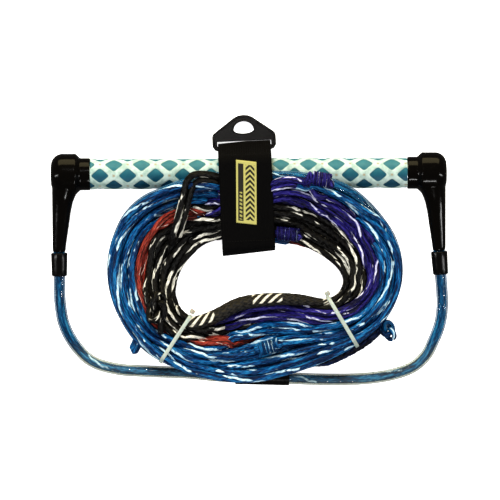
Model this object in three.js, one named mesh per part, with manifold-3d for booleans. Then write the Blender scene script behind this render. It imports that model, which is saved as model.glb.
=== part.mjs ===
// Tow rope handle: a gripped bar with two elbow caps, a sheathed bridle, a coiled four-colour
// line, and the webbing strap with its hang tab that holds the coil to the bar.
// Millimetres. +X runs along the bar, +Y points from the bar to the hang tab, +Z is up.
// The origin is on the surface that the handle lies on, under the middle of the bar.

import * as THREE from 'three';
import { mergeVertices } from 'three/addons/utils/BufferGeometryUtils.js';
import Module from 'manifold-3d';

const wasm = await Module();
wasm.setup();

// ---- driving dimensions -------------------------------------------------------------------

const GAP = 0.3;

// bar and grip
const GRIP_LENGTH = 300;
const GRIP_DIAMETER = 29;
const TUBE_DIAMETER = 22.2;
const TUBE_WALL = 1.5;
const CORE_BORE = 10;
const CORE_INSET = 2;

// elbow caps
const HEAD_DIAMETER = 35;
const HEAD_LENGTH = 25;
const HEAD_CORNER = 11;
const COLLAR_DIAMETER = 30;
const COLLAR_LENGTH = 9;
const SHOULDER_LENGTH = 3;
const SOCKET_DEPTH = 20;
const ARM_REACH = 73;
const ARM_ROOT_WIDTH = 22;
const ARM_TIP_WIDTH = 12.6;
const ARM_NECK_WIDTH = 10;
const ARM_EDGE_INSET = 0.8;
const ARM_AXIS_LEAN = 2.2;
const ARM_TAPER_WIDTH = 18;
const ARM_TAPER_BELOW_HEAD = 14;
const ARM_NECK_LENGTH = 4;
const SOCKET_ROOM = 1;
const ROPE_BORE = 8.8;
const ELBOW_BORE = 11.6;
const ELBOW_REACH = 20;
const ELBOW_OVERLAP = 8;
const ARM_DROOP = THREE.MathUtils.degToRad(5);
// The arm as it grows out of the head: reach as a share of the head's radius, width over the
// root's width, depth as a share of the head's diameter.
const ARM_FLARE = [[0, 3, 0.8], [0.6, 3, 0.78], [1.06, 1, 0.66], [1.34, -1.8, 0.6]];
// The rope's bend into the arm, as [x, y] from the arm's axis.
const ELBOW_BEND = [[-13, 0], [-7, -1.2], [-2.4, -5], [-0.4, -11]];

// rope, sheath and the sleeves on them
const BRIDLE_ROPE = 8;
const SHEATH_DIAMETER = 11;
const SHEATH_WALL = 1.2;
const LINE_ROPE = 6.4;
const KEEPER_LENGTH = 22;
const KEEPER_TOP = 15.6;
const KEEPER_BOTTOM = 14.4;
const KEEPER_OFFSET = 1.6;
const KEEPER_CLEARANCE = 0.35;
const KEEPER_TRAVEL = 10;
const KEEPER_RUN_OUT = 8;
const RIGHT_LEG_LEAN = THREE.MathUtils.degToRad(4);
const JUNCTION_LENGTH = 51;
const JUNCTION_WALL = 1.3;
const JUNCTION_PITCH = 12.4;

// coil
const COIL_CENTRE = new THREE.Vector2(8.5, -99.8);
const OUTER_RADII = [137, 137, 130, 123, 113, 105, 102, 105, 113, 124, 139, 144,
  143, 137, 129, 117, 108, 102, 99, 96, 99, 105, 117, 129];
const HOLE_RADII = [80, 63, 47, 40, 38, 36, 34, 35, 38, 46, 53, 62,
  72, 78, 71, 37, 21, 17, 15, 15, 16, 19, 29, 70];
const BUNDLE_AREA = 1600;
const BUNDLE_MOST_HEIGHT = 33;
const BUNDLE_LEAST_HEIGHT = 23;
const BAND_ROOM = 2.0;
// Where the bundle starts to climb the bar and the bridle, and how steeply.
const BAR_CLIMB_START = -45;
const BAR_CLIMB = 0.8;
const BAR_CLIMB_LENGTH = 35;
const BAR_THINNING = 0.58;
const BRIDLE_CLIMB_START = -153;
const BRIDLE_CLIMB = 0.73;
const BRIDLE_CLIMB_LENGTH = 18;
const BRIDLE_THINNING_START = -160;
const BRIDLE_THINNING_LENGTH = 25;
const BRIDLE_THINNING = 0.35;
const LEAD_CLIMB_START = -59;
const LEAD_CLIMB = 0.64;
const BUNDLE_SQUARENESS = 0.55;
// Shares of the bundle's width, then of its height, where one colour meets the next.
const BLACK_SHARE = 0.46;
const MIDDLE_SHARE = 0.66;
const RED_HEIGHT = 0.48;
const PURPLE_HEIGHT = 0.52;

// cable ties
const TIE_WIDTH = 3.2;
const TIE_THICKNESS = 1.2;
const TIE_HEAD = new THREE.Vector3(6, 5, 4.4);
const TIE_CORNER = 5;
// Each tie runs from its angle at the hole to its angle at the rim.
const LEFT_TIE = [208, 220].map(THREE.MathUtils.degToRad);
const RIGHT_TIE = [-15, -35].map(THREE.MathUtils.degToRad);
const TIE_ROOM = 0.8;
const TIE_FOOT_GAP = 0.1;
const TIE_HEAD_HEIGHT = 0.45;

// strap, its closure and its label
const STRAP_WIDTH = 50;
const STRAP_THICKNESS = 1.5;
const STRAP_LEAN = THREE.MathUtils.degToRad(2.3);
const STRAP_CENTRE = -3;
const STRAP_TOP_CLEARANCE = 5.2;
const STRAP_INNER_HEIGHT = 31;
const STRAP_INNER_EDGE = -75.5;
const PATCH_THICKNESS = 0.9;
const PATCH_LENGTH = 18;
const LABEL_WIDTH = 20;
const LABEL_LENGTH = 61.5;
const LABEL_THICKNESS = 0.6;
const LABEL_START = 4.2;
const PATCH_MARGIN = 2;
const OVERLAP_OUTER_END = -37;
const OVERLAP_INNER_END = -14;
const OVERLAP_RISE = [-8, -1.6];
const FRONT_LEG_ANGLE = THREE.MathUtils.degToRad(72);
const TOP_CORNER = 7;
const INNER_CORNER = 8;
const FOOT_CORNER = 4;
const INNER_LEAN = 2;

// hang tab
const TAB_PIVOT = 24.5;
const TAB_CHEEK = 4.7;
const TAB_REACH = 30.7;
const TAB_THICKNESS = 3.2;
const TAB_FOOT = 2.45;
const TAB_SLOT = 4.4;
const TAB_HOLE_WIDTH = 19;
const TAB_HOLE_FOOT = 13.9;
const TAB_HOLE_TOP = 25.7;
const TAB_HOLE_SHOULDER = 3.6;
const TAB_CORNER = 5;
const TAB_SIDE_TOP = 12;
const TAB_SHOULDER = 15.8;
const TAB_EASE = 1.5;
const TAB_TIP_HALF = 7.5;
const TAB_TIP_DROP = 1.8;
const STRAP_LOOP_RADIUS = 4.25;

// ---- sizes that follow --------------------------------------------------------------------

const AXIS_HEIGHT = HEAD_DIAMETER / 2;
const LEAD_TOP = AXIS_HEIGHT + GRIP_DIAMETER / 2 + SHEATH_DIAMETER + GAP;
const STRAP_TOP_HEIGHT = LEAD_TOP + STRAP_TOP_CLEARANCE;
const TAB_WIDTH = STRAP_WIDTH + 2 * TAB_CHEEK;
const CAP_LENGTH = COLLAR_LENGTH + SHOULDER_LENGTH + HEAD_LENGTH;
const TUBE_LENGTH = GRIP_LENGTH + 2 * (SOCKET_DEPTH - SOCKET_ROOM);
const SHEATH_BORE = SHEATH_DIAMETER - 2 * SHEATH_WALL;
const COIL_INSET = SHEATH_DIAMETER + 2 * GAP;
const SMOOTH_SIDES = 32;
const ROPE_SIDES = 8;
const ARM_SIDES = 24;
const ELBOW_STEPS = 12;
const LEG_STEPS = 26;
const BAR_ROPE_STEPS = 48;
const LEAD_STEPS = 42;

// ---- materials ----------------------------------------------------------------------------

function finish(color, roughness, metalness = 0) {
  return new THREE.MeshStandardMaterial({ color, roughness, metalness });
}

const BLACK_GLOSS = finish('#0b0a09', 0.15);
const GRIP_RUBBER = finish('#5aa7b4', 0.6);
const ALUMINIUM = finish('#c9ccd0', 0.35, 1);
const FOAM = finish('#e6e2d6', 0.9);
const BLUE_ROPE = finish('#14569c', 0.6);
const PURPLE_ROPE = finish('#3b3196', 0.6);
const RED_ROPE = finish('#b8432f', 0.6);
const BLACK_ROPE = finish('#15130f', 0.6);
const CLEAR_SHEATH = finish('#b9c0b4', 0.12);
const WEBBING = finish('#0c0b0b', 0.85);
const LABEL = finish('#d2c95b', 0.6);
const NYLON = finish('#ddd8c6', 0.4);
const TAB_PLASTIC = finish('#100f0e', 0.4);

// ---- helpers ------------------------------------------------------------------------------

const model = new THREE.Group();

function part(parent, name, geometry, material) {
  const mesh = new THREE.Mesh(geometry, material);
  mesh.name = name;
  parent.add(mesh);
  return mesh;
}

function solid(geometry) {
  const bare = geometry.clone();
  bare.deleteAttribute('normal');
  bare.deleteAttribute('uv');
  const merged = mergeVertices(bare, 1e-4);
  const vertProperties = new Float32Array(merged.attributes.position.array);
  const triVerts = new Uint32Array(merged.index.array);
  return new wasm.Manifold(new wasm.Mesh({ numProp: 3, vertProperties, triVerts }));
}

function surface(manifold) {
  const { vertProperties, triVerts } = manifold.getMesh();
  const geometry = new THREE.BufferGeometry();
  geometry.setAttribute('position', new THREE.BufferAttribute(vertProperties, 3));
  geometry.setIndex(new THREE.BufferAttribute(triVerts, 1));
  return geometry;
}

function disc(radius, sides) {
  const outline = new THREE.Shape();
  for (let i = 0; i < sides; i += 1) {
    const angle = (2 * Math.PI * i) / sides;
    const x = radius * Math.cos(angle);
    const y = radius * Math.sin(angle);
    if (i === 0) outline.moveTo(x, y);
    else outline.lineTo(x, y);
  }
  outline.closePath();
  return outline;
}

// A solid rod or, with a bore, a hollow tube along a smooth path through the points.
function rod(points, steps, radius, bore = 0) {
  const path = new THREE.CatmullRomCurve3(points.map((p) => new THREE.Vector3(...p)));
  const section = disc(radius, ROPE_SIDES);
  if (bore > 0) section.holes.push(disc(bore, ROPE_SIDES));
  return new THREE.ExtrudeGeometry(section, { steps, extrudePath: path });
}

// A turned shape along +X; the profile gives [distance along X, radius] pairs.
function turned(profile) {
  const points = profile.map(([x, r]) => new THREE.Vector2(r, x));
  return new THREE.LatheGeometry(points, SMOOTH_SIDES).rotateZ(-Math.PI / 2);
}

function pipe(length, radius, bore) {
  const half = length / 2;
  return turned([[-half, bore], [-half, radius], [half, radius], [half, bore], [-half, bore]]);
}

// A tapering limb through round stations [x, y, half width along X, half width along Z].
function limb(stations, sides) {
  const rows = stations.length - 1;
  const geometry = new THREE.CylinderGeometry(1, 1, rows, sides, rows);
  const position = geometry.attributes.position;
  for (let i = 0; i < position.count; i += 1) {
    const row = Math.round(rows / 2 - position.getY(i));
    const [x, y, halfX, halfZ] = stations[row];
    position.setXYZ(i, x + halfX * position.getX(i), y, halfZ * position.getZ(i));
  }
  return geometry;
}

function smoothStep(value, low, high) {
  const t = THREE.MathUtils.clamp((value - low) / (high - low), 0, 1);
  return t * t * (3 - 2 * t);
}

// ---- bar and caps -------------------------------------------------------------------------

const handle = new THREE.Group();
handle.position.z = AXIS_HEIGHT;
handle.rotation.x = ARM_DROOP;
model.add(handle);

function capHead() {
  const shoulder = COLLAR_LENGTH + SHOULDER_LENGTH;
  const profile = [[0, 0], [0, COLLAR_DIAMETER / 2], [COLLAR_LENGTH, COLLAR_DIAMETER / 2]];
  profile.push([shoulder, HEAD_DIAMETER / 2]);
  const arcSteps = 5;
  for (let i = 0; i <= arcSteps; i += 1) {
    const angle = (Math.PI / 2) * (i / arcSteps);
    const x = CAP_LENGTH - HEAD_CORNER + HEAD_CORNER * Math.sin(angle);
    const r = HEAD_DIAMETER / 2 - HEAD_CORNER + HEAD_CORNER * Math.cos(angle);
    profile.push([x, r]);
  }
  profile.push([CAP_LENGTH, 0]);
  return turned(profile);
}

function armStation(reach, width, depth) {
  const outerEdge = CAP_LENGTH - ARM_EDGE_INSET;
  return [outerEdge - width / 2, -reach, width / 2, depth / 2];
}

function capArm() {
  const flare = HEAD_DIAMETER / 2;
  const stations = ARM_FLARE.map(([reach, wider, depth]) => (
    armStation(flare * reach, ARM_ROOT_WIDTH + wider, HEAD_DIAMETER * depth)));
  const taperStart = flare + ARM_TAPER_BELOW_HEAD;
  const taperEnd = ARM_REACH - ARM_NECK_LENGTH;
  const taperSteps = 3;
  for (let i = 0; i <= taperSteps; i += 1) {
    const reach = THREE.MathUtils.lerp(taperStart, taperEnd, i / taperSteps);
    const width = THREE.MathUtils.lerp(ARM_TAPER_WIDTH, ARM_TIP_WIDTH, i / taperSteps);
    stations.push(armStation(reach, width, width));
  }
  const neckInset = (ARM_TIP_WIDTH - ARM_NECK_WIDTH) / 2;
  const neck = armStation(ARM_REACH, ARM_NECK_WIDTH, ARM_NECK_WIDTH);
  neck[0] -= neckInset;
  stations.push(neck);
  return limb(stations, ARM_SIDES);
}

function armAxis(reach) {
  const tip = CAP_LENGTH - ARM_EDGE_INSET - ARM_TIP_WIDTH / 2;
  const lean = ARM_AXIS_LEAN * (1 - reach / ARM_REACH);
  return [tip - lean, -reach, 0];
}

// The rope's way through an elbow, from the grip side to the arm's tip.
function elbowRoute() {
  const [bendX] = armAxis(ELBOW_REACH);
  return [...ELBOW_BEND.map(([x, y]) => [bendX + x, y, 0]), armAxis(ELBOW_REACH)];
}

function capSolid() {
  const elbow = rod([[SOCKET_DEPTH - 2 * SOCKET_ROOM, 0, 0], ...elbowRoute()], ELBOW_STEPS,
    ELBOW_BORE / 2);
  const boreStart = armAxis(ELBOW_REACH - ELBOW_OVERLAP);
  const bore = rod([boreStart, armAxis(ARM_REACH / 2), armAxis(ARM_REACH + 1)], 2, ROPE_BORE / 2);
  const socketRadius = TUBE_DIAMETER / 2 + GAP;
  const socket = turned([[-SOCKET_ROOM, 0], [-SOCKET_ROOM, socketRadius],
    [SOCKET_DEPTH, socketRadius], [SOCKET_DEPTH, 0]]);
  const body = solid(capHead()).add(solid(capArm()));
  return surface(body.subtract(solid(socket)).subtract(solid(elbow)).subtract(solid(bore)));
}

function buildBar() {
  const tubeBore = TUBE_DIAMETER / 2 - TUBE_WALL;
  part(handle, 'bar_tube', pipe(TUBE_LENGTH, TUBE_DIAMETER / 2, tubeBore), ALUMINIUM);
  const grip = pipe(GRIP_LENGTH - 2 * GAP, GRIP_DIAMETER / 2, TUBE_DIAMETER / 2 + GAP);
  part(handle, 'grip_sleeve', grip, GRIP_RUBBER);
  const core = pipe(TUBE_LENGTH - 2 * CORE_INSET, tubeBore - GAP, CORE_BORE / 2);
  part(handle, 'flotation_core', core, FOAM);
  const geometry = capSolid();
  for (const [name, turn] of [['right_end_cap', 0], ['left_end_cap', Math.PI]]) {
    const cap = part(handle, name, geometry, BLACK_GLOSS);
    cap.position.x = Math.cos(turn) * (GRIP_LENGTH / 2);
    cap.rotation.y = turn;
  }
}

function buildBarRope() {
  const half = GRIP_LENGTH / 2;
  const arm = [ARM_REACH / 2, ARM_REACH * 0.75, ARM_REACH - GAP].map(armAxis);
  const right = [...elbowRoute(), ...arm];
  const rightSide = right.map(([x, y, z]) => [x + half, y, z]);
  const leftSide = rightSide.map(([x, y, z]) => [-x, y, z]).reverse();
  const inBar = [-0.9, -0.45, 0, 0.45, 0.9].map((share) => [half * share, 0, 0]);
  const route = [...leftSide, ...inBar, ...rightSide];
  part(handle, 'bar_rope', rod(route, BAR_ROPE_STEPS, BRIDLE_ROPE / 2), BLUE_ROPE);
}

// ---- bridle -------------------------------------------------------------------------------

// The middle of the arm's tip in the model's frame; side is -1 for left and 1 for right.
function armTip(side) {
  const [x] = armAxis(ARM_REACH);
  return new THREE.Vector3(side * (GRIP_LENGTH / 2 + x), -ARM_REACH * Math.cos(ARM_DROOP),
    AXIS_HEIGHT - ARM_REACH * Math.sin(ARM_DROOP));
}

const LEFT_LEG = [[-179.2, -124, 6.9], [-175.8, -142, 6.1],
  [-166.3, -160.5, 5.7], [-150.3, -176.8, 5.7], [-126.6, -184.6, 5.7], [-93.6, -187.2, 5.7],
  [-56, -189, 6], [-30, -191.6, 6.8], [-13, -192.3, 7.1], [4, -192.9, 7.1], [11.7, -193.2, 7.1]];
const RIGHT_LEG = [[183.1, -126, 6.9], [180.8, -143, 6.1],
  [174.3, -160, 5.7], [167, -173.5, 5.7], [155, -184, 5.7], [138, -190.4, 5.7],
  [114.3, -194.4, 5.7], [92, -195.6, 5.7], [66, -195.4, 6.3], [50, -194.8, 7],
  [36, -194, 7.1], [20, -193.4, 7.1], [12.3, -193.2, 7.1]];
const JUNCTION_MIDDLE = [12, -193.2, 7.1];
const JUNCTION_TURN = THREE.MathUtils.degToRad(-1.6);

// The straight stretch of a leg that its keeper slides on: its start and its direction.
function legStart(side) {
  const lean = side > 0 ? RIGHT_LEG_LEAN : 0;
  const along = new THREE.Vector3(side * Math.sin(lean), -Math.cos(lean) * Math.cos(ARM_DROOP),
    -Math.cos(lean) * Math.sin(ARM_DROOP));
  return { tip: armTip(side), along };
}

function legStraight(side) {
  const { tip, along } = legStart(side);
  const length = KEEPER_OFFSET + KEEPER_LENGTH + KEEPER_TRAVEL + KEEPER_RUN_OUT;
  const shares = [(2 * GAP) / length, 0.25, 0.5, 0.75, 1];
  return shares.map((share) => along.clone().multiplyScalar(length * share).add(tip).toArray());
}

function buildLeg(name, side, route) {
  const points = [...legStraight(side), ...route];
  part(model, `${name}_bridle_rope`, rod(points, LEG_STEPS, BRIDLE_ROPE / 2), BLUE_ROPE);
  const sheath = rod(points, LEG_STEPS, SHEATH_DIAMETER / 2, SHEATH_BORE / 2);
  part(model, `${name}_bridle_sheath`, sheath, CLEAR_SHEATH);
}

function buildKeeper(name, side) {
  const bore = SHEATH_DIAMETER / 2 + KEEPER_CLEARANCE;
  const profile = [[0, bore], [0, KEEPER_TOP / 2], [KEEPER_LENGTH, KEEPER_BOTTOM / 2],
    [KEEPER_LENGTH, bore], [0, bore]];
  const { tip, along } = legStart(side);
  const keeper = part(model, `${name}_keeper_sleeve`, turned(profile), BLACK_GLOSS);
  keeper.position.copy(along).multiplyScalar(KEEPER_OFFSET).add(tip);
  keeper.quaternion.setFromUnitVectors(new THREE.Vector3(1, 0, 0), along);
}

function stadium(width, height) {
  const outline = new THREE.Shape();
  const reach = (width - height) / 2;
  outline.absarc(reach, 0, height / 2, -Math.PI / 2, Math.PI / 2, false);
  outline.absarc(-reach, 0, height / 2, Math.PI / 2, (3 * Math.PI) / 2, false);
  outline.closePath();
  return outline;
}

function buildJunction() {
  const bore = SHEATH_DIAMETER + 2 * GAP;
  const height = bore + 2 * JUNCTION_WALL;
  const shell = new THREE.ExtrudeGeometry(stadium(height + JUNCTION_PITCH, height),
    { depth: JUNCTION_LENGTH, steps: 1, curveSegments: 8, bevelEnabled: false });
  shell.translate(JUNCTION_PITCH / 2, 0, -JUNCTION_LENGTH / 2);
  const legBore = new THREE.CylinderGeometry(bore / 2, bore / 2, JUNCTION_LENGTH + 2, 20);
  legBore.rotateX(Math.PI / 2);
  const leadBore = legBore.clone().translate(JUNCTION_PITCH, 0, JUNCTION_LENGTH / 2 + 1);
  const body = solid(shell).subtract(solid(legBore)).subtract(solid(leadBore));
  const junction = part(model, 'bridle_junction_sleeve', surface(body), BLACK_GLOSS);
  junction.geometry.rotateY(Math.PI / 2).rotateX(Math.PI / 2);
  junction.position.set(...JUNCTION_MIDDLE);
  junction.rotation.z = JUNCTION_TURN;
}

// ---- coil ---------------------------------------------------------------------------------

// A smooth closed outline: the radius at any angle from radii at even steps round the circle.
function outlineRadius(radii, angle) {
  const turn = THREE.MathUtils.euclideanModulo(angle / (2 * Math.PI), 1) * radii.length;
  const index = Math.floor(turn) % radii.length;
  const t = turn - Math.floor(turn);
  const at = (k) => radii[(index + k + radii.length) % radii.length];
  const slopeIn = (at(1) - at(-1)) / 2;
  const slopeOut = (at(2) - at(0)) / 2;
  const rise = at(1) - at(0);
  return at(0) + t * (slopeIn + t * (3 * rise - 2 * slopeIn - slopeOut
    + t * (slopeIn + slopeOut - 2 * rise)));
}

function coilPoint(angle, radius) {
  return [COIL_CENTRE.x + radius * Math.cos(angle), COIL_CENTRE.y + radius * Math.sin(angle)];
}

// The room under the bundle for the strap and the ties; at its two ends it meets the surface.
function bandRoom(angle) {
  return BAND_ROOM * smoothStep(Math.abs(Math.sin(angle)), 0.1, 0.25);
}

// How high the bundle's underside is: it climbs the bar and crosses over the bridle.
function bundleBase(angle, y) {
  const overBar = BAR_CLIMB * Math.max(0, y - BAR_CLIMB_START);
  const overBridle = BRIDLE_CLIMB
    * THREE.MathUtils.clamp(BRIDLE_CLIMB_START - y, 0, BRIDLE_CLIMB_LENGTH);
  return bandRoom(angle) + overBar + overBridle;
}

function bundleHeight(angle, y) {
  const width = outlineRadius(OUTER_RADII, angle) - outlineRadius(HOLE_RADII, angle) - COIL_INSET;
  const height = THREE.MathUtils.clamp(BUNDLE_AREA / width, BUNDLE_LEAST_HEIGHT,
    BUNDLE_MOST_HEIGHT);
  const nearBar = THREE.MathUtils.clamp((y - BAR_CLIMB_START) / BAR_CLIMB_LENGTH, 0, 1);
  const nearBridle = THREE.MathUtils.clamp(
    (BRIDLE_THINNING_START - y) / BRIDLE_THINNING_LENGTH, 0, 1);
  return height * (1 - BAR_THINNING * nearBar) * (1 - BRIDLE_THINNING * nearBridle);
}

// One colour of the coiled line: a closed ring between two shares of the bundle's width and
// of its height, with rounded corners.
function coilRing(inner, outer, low, high) {
  const stations = 48;
  const sides = 10;
  const ring = new THREE.TorusGeometry(2, 1, sides, stations);
  const position = ring.attributes.position;
  for (let i = 0; i < position.count; i += 1) {
    const [x, y, z] = [position.getX(i), position.getY(i), position.getZ(i)];
    const angle = Math.atan2(y, x);
    const across = Math.hypot(x, y) - 2;
    const u = 0.5 + 0.5 * Math.sign(across) * Math.abs(across) ** BUNDLE_SQUARENESS;
    const v = 0.5 + 0.5 * Math.sign(z) * Math.abs(z) ** BUNDLE_SQUARENESS;
    const hole = outlineRadius(HOLE_RADII, angle);
    const rim = outlineRadius(OUTER_RADII, angle) - COIL_INSET;
    const from = THREE.MathUtils.lerp(hole, rim, inner) + GAP;
    const to = THREE.MathUtils.lerp(hole, rim, outer) - GAP;
    const [px, py] = coilPoint(angle, THREE.MathUtils.lerp(from, to, u));
    const base = bundleBase(angle, py);
    const height = bundleHeight(angle, py);
    const share = THREE.MathUtils.lerp(low, high, v);
    const lift = GAP * (low > 0 ? 1 : 0) * (1 - v);
    position.setXYZ(i, px, py, base + height * share + lift);
  }
  return ring;
}

function buildCoil() {
  part(model, 'coil_black', coilRing(0, BLACK_SHARE, 0, 1), BLACK_ROPE);
  part(model, 'coil_red', coilRing(BLACK_SHARE, MIDDLE_SHARE, 0, RED_HEIGHT), RED_ROPE);
  const purple = coilRing(BLACK_SHARE, MIDDLE_SHARE, PURPLE_HEIGHT, 1);
  part(model, 'coil_purple', purple, PURPLE_ROPE);
  part(model, 'coil_blue', coilRing(MIDDLE_SHARE, 1, 0, 1), BLUE_ROPE);
}

const LEAD_START = [[16, -180.9, 7.1], [29, -181.2, 7.1], [40, -181.5, 7.1], [50, -180.6, 7.1]];
const LEAD_FROM = THREE.MathUtils.degToRad(-52);
const LEAD_TO = THREE.MathUtils.degToRad(223);

function leadHeight(angle, y) {
  const onBar = LEAD_TOP - SHEATH_DIAMETER / 2;
  const onSurface = SHEATH_DIAMETER / 2 + bandRoom(angle);
  return Math.min(onBar, onSurface + LEAD_CLIMB * Math.max(0, y - LEAD_CLIMB_START));
}

function leadRoute() {
  const points = [...LEAD_START];
  const steps = 32;
  for (let i = 0; i <= steps; i += 1) {
    const angle = THREE.MathUtils.lerp(LEAD_FROM, LEAD_TO, i / steps);
    const radius = outlineRadius(OUTER_RADII, angle) - SHEATH_DIAMETER / 2;
    const [x, y] = coilPoint(angle, radius);
    points.push([x, y, leadHeight(angle, y)]);
  }
  return points;
}

function buildLead() {
  const route = leadRoute();
  part(model, 'lead_rope', rod(route, LEAD_STEPS, BRIDLE_ROPE / 2), BLUE_ROPE);
  const sheath = rod(route, LEAD_STEPS, SHEATH_DIAMETER / 2, SHEATH_BORE / 2);
  part(model, 'lead_sheath', sheath, CLEAR_SHEATH);
}

// ---- knots, splices and loops on the coil -------------------------------------------------

function pebble(length, width, height) {
  return new THREE.SphereGeometry(0.5, 12, 8).scale(length, width, height);
}

const KNOT_LIFT = 5.3;
// Name, size along, across and up, place, turn in degrees, material.
const KNOTS = [
  ['black_knot', [34, 14, 12], [-86.5, -127, 41], 80, BLACK_ROPE],
  ['blue_splice_knot', [21, 19, 12], [17.5, -163.6, 39.6], 0, BLUE_ROPE],
  ['purple_loop_splice', [28, 12, 9], [66, -6.5, LEAD_TOP + KNOT_LIFT], -10, PURPLE_ROPE],
  ['blue_end_loop', [20, 11, 9], [131, -149, 17.4], -60, BLUE_ROPE],
  ['dark_rope_tip', [16, 9, 8.6], [-107, -164, 17.2], 52, BLUE_ROPE],
];
const LOOP_STRAND = [[-46, -1, 47.5], [-52, -9, 48.2], [-57, -20, 44.5], [-60, -32, 40],
  [-62, -46, 36.5]];
const LOOP_STRAND_STEPS = 8;

function buildKnots() {
  for (const [name, size, place, turn, material] of KNOTS) {
    const knot = part(model, name, pebble(...size), material);
    knot.position.set(...place);
    knot.rotation.z = THREE.MathUtils.degToRad(turn);
  }
  const strand = rod(LOOP_STRAND, LOOP_STRAND_STEPS, LINE_ROPE / 2);
  part(model, 'black_loop_strand', strand, BLACK_ROPE);
}

// ---- cable ties ---------------------------------------------------------------------------

// The bundle's greatest height along a straight line across it.
function bundleTop(from, to) {
  const samples = 8;
  let top = 0;
  for (let i = 0; i <= samples; i += 1) {
    const place = from.clone().lerp(to, i / samples);
    const angle = Math.atan2(place.y - COIL_CENTRE.y, place.x - COIL_CENTRE.x);
    top = Math.max(top, bundleBase(angle, place.y) + bundleHeight(angle, place.y));
  }
  return top;
}

function buildTie(name, innerAngle, outerAngle) {
  const hole = outlineRadius(HOLE_RADII, innerAngle);
  const rim = outlineRadius(OUTER_RADII, outerAngle);
  const from = new THREE.Vector2(...coilPoint(innerAngle, hole));
  const to = new THREE.Vector2(...coilPoint(outerAngle, rim));
  const reach = from.distanceTo(to) / 2 + TIE_ROOM;
  const middle = from.clone().add(to).multiplyScalar(0.5);
  const tieFoot = TIE_THICKNESS + TIE_FOOT_GAP;
  const top = bundleTop(from, to) + TIE_ROOM;
  const outline = (grow) => {
    const shape = new THREE.Shape();
    const [left, right] = [-reach - grow, reach + grow];
    const [low, high] = [tieFoot - grow, top + grow];
    const r = TIE_CORNER + grow;
    shape.moveTo(left + r, low);
    shape.absarc(right - r, low + r, r, -Math.PI / 2, 0, false);
    shape.absarc(right - r, high - r, r, 0, Math.PI / 2, false);
    shape.absarc(left + r, high - r, r, Math.PI / 2, Math.PI, false);
    shape.absarc(left + r, low + r, r, Math.PI, 1.5 * Math.PI, false);
    return shape;
  };
  const band = outline(TIE_THICKNESS);
  band.holes.push(outline(0));
  const geometry = new THREE.ExtrudeGeometry(band,
    { depth: TIE_WIDTH, steps: 1, curveSegments: 5, bevelEnabled: false });
  geometry.translate(0, 0, -TIE_WIDTH / 2).rotateX(Math.PI / 2);
  const tie = new THREE.Group();
  tie.position.set(middle.x, middle.y, 0);
  tie.rotation.z = Math.atan2(to.y - from.y, to.x - from.x);
  model.add(tie);
  part(tie, `${name}_tie_band`, geometry, NYLON);
  const head = new THREE.BoxGeometry(TIE_HEAD.x, TIE_HEAD.y, TIE_HEAD.z);
  const block = part(tie, `${name}_tie_head`, head, NYLON);
  const outside = reach + TIE_THICKNESS + GAP + TIE_HEAD.z / 2;
  block.position.set(-outside, 0, top * TIE_HEAD_HEIGHT);
  block.rotation.y = Math.PI / 2;
}

// ---- strap --------------------------------------------------------------------------------

const strap = new THREE.Group();
strap.position.x = STRAP_CENTRE;
strap.rotation.z = STRAP_LEAN;
model.add(strap);

// A polyline in the YZ plane whose corners [y, z, radius] are rounded with arcs.
function roundedPath(corners) {
  const points = [new THREE.Vector2(corners[0][0], corners[0][1])];
  for (let i = 1; i < corners.length - 1; i += 1) {
    const corner = new THREE.Vector2(corners[i][0], corners[i][1]);
    const before = new THREE.Vector2(corners[i - 1][0], corners[i - 1][1]).sub(corner).normalize();
    const after = new THREE.Vector2(corners[i + 1][0], corners[i + 1][1]).sub(corner).normalize();
    const half = Math.acos(THREE.MathUtils.clamp(before.dot(after), -1, 1)) / 2;
    const radius = corners[i][2];
    const centre = before.clone().add(after).normalize().multiplyScalar(radius / Math.sin(half))
      .add(corner);
    const cut = radius / Math.tan(half);
    const start = before.clone().multiplyScalar(cut).add(corner).sub(centre).angle();
    const end = after.clone().multiplyScalar(cut).add(corner).sub(centre).angle();
    let sweep = end - start;
    if (sweep > Math.PI) sweep -= 2 * Math.PI;
    if (sweep < -Math.PI) sweep += 2 * Math.PI;
    const steps = Math.max(2, Math.round(Math.abs(sweep) / 0.35));
    for (let k = 0; k <= steps; k += 1) {
      const angle = start + (sweep * k) / steps;
      points.push(new THREE.Vector2(Math.cos(angle), Math.sin(angle)).multiplyScalar(radius)
        .add(centre));
    }
  }
  const last = corners[corners.length - 1];
  points.push(new THREE.Vector2(last[0], last[1]));
  return points;
}

// The point that lies a given distance to the right of the path's direction, at each point.
function offsetPath(points, distance) {
  return points.map((point, i) => {
    const before = points[Math.max(i - 1, 0)];
    const after = points[Math.min(i + 1, points.length - 1)];
    const along = after.clone().sub(before).normalize();
    return new THREE.Vector2(point.x + along.y * distance, point.y - along.x * distance);
  });
}

// A flat strip of webbing that follows a path in the YZ plane, as wide as given along X.
function webbing(points, inside, outside, width) {
  const outline = [...offsetPath(points, outside), ...offsetPath(points, inside).reverse()];
  const shape = new THREE.Shape(outline);
  const strip = new THREE.ExtrudeGeometry(shape, { depth: width, steps: 1, bevelEnabled: false });
  strip.translate(0, 0, -width / 2);
  return strip.rotateY(Math.PI / 2).rotateX(Math.PI / 2);
}

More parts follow.
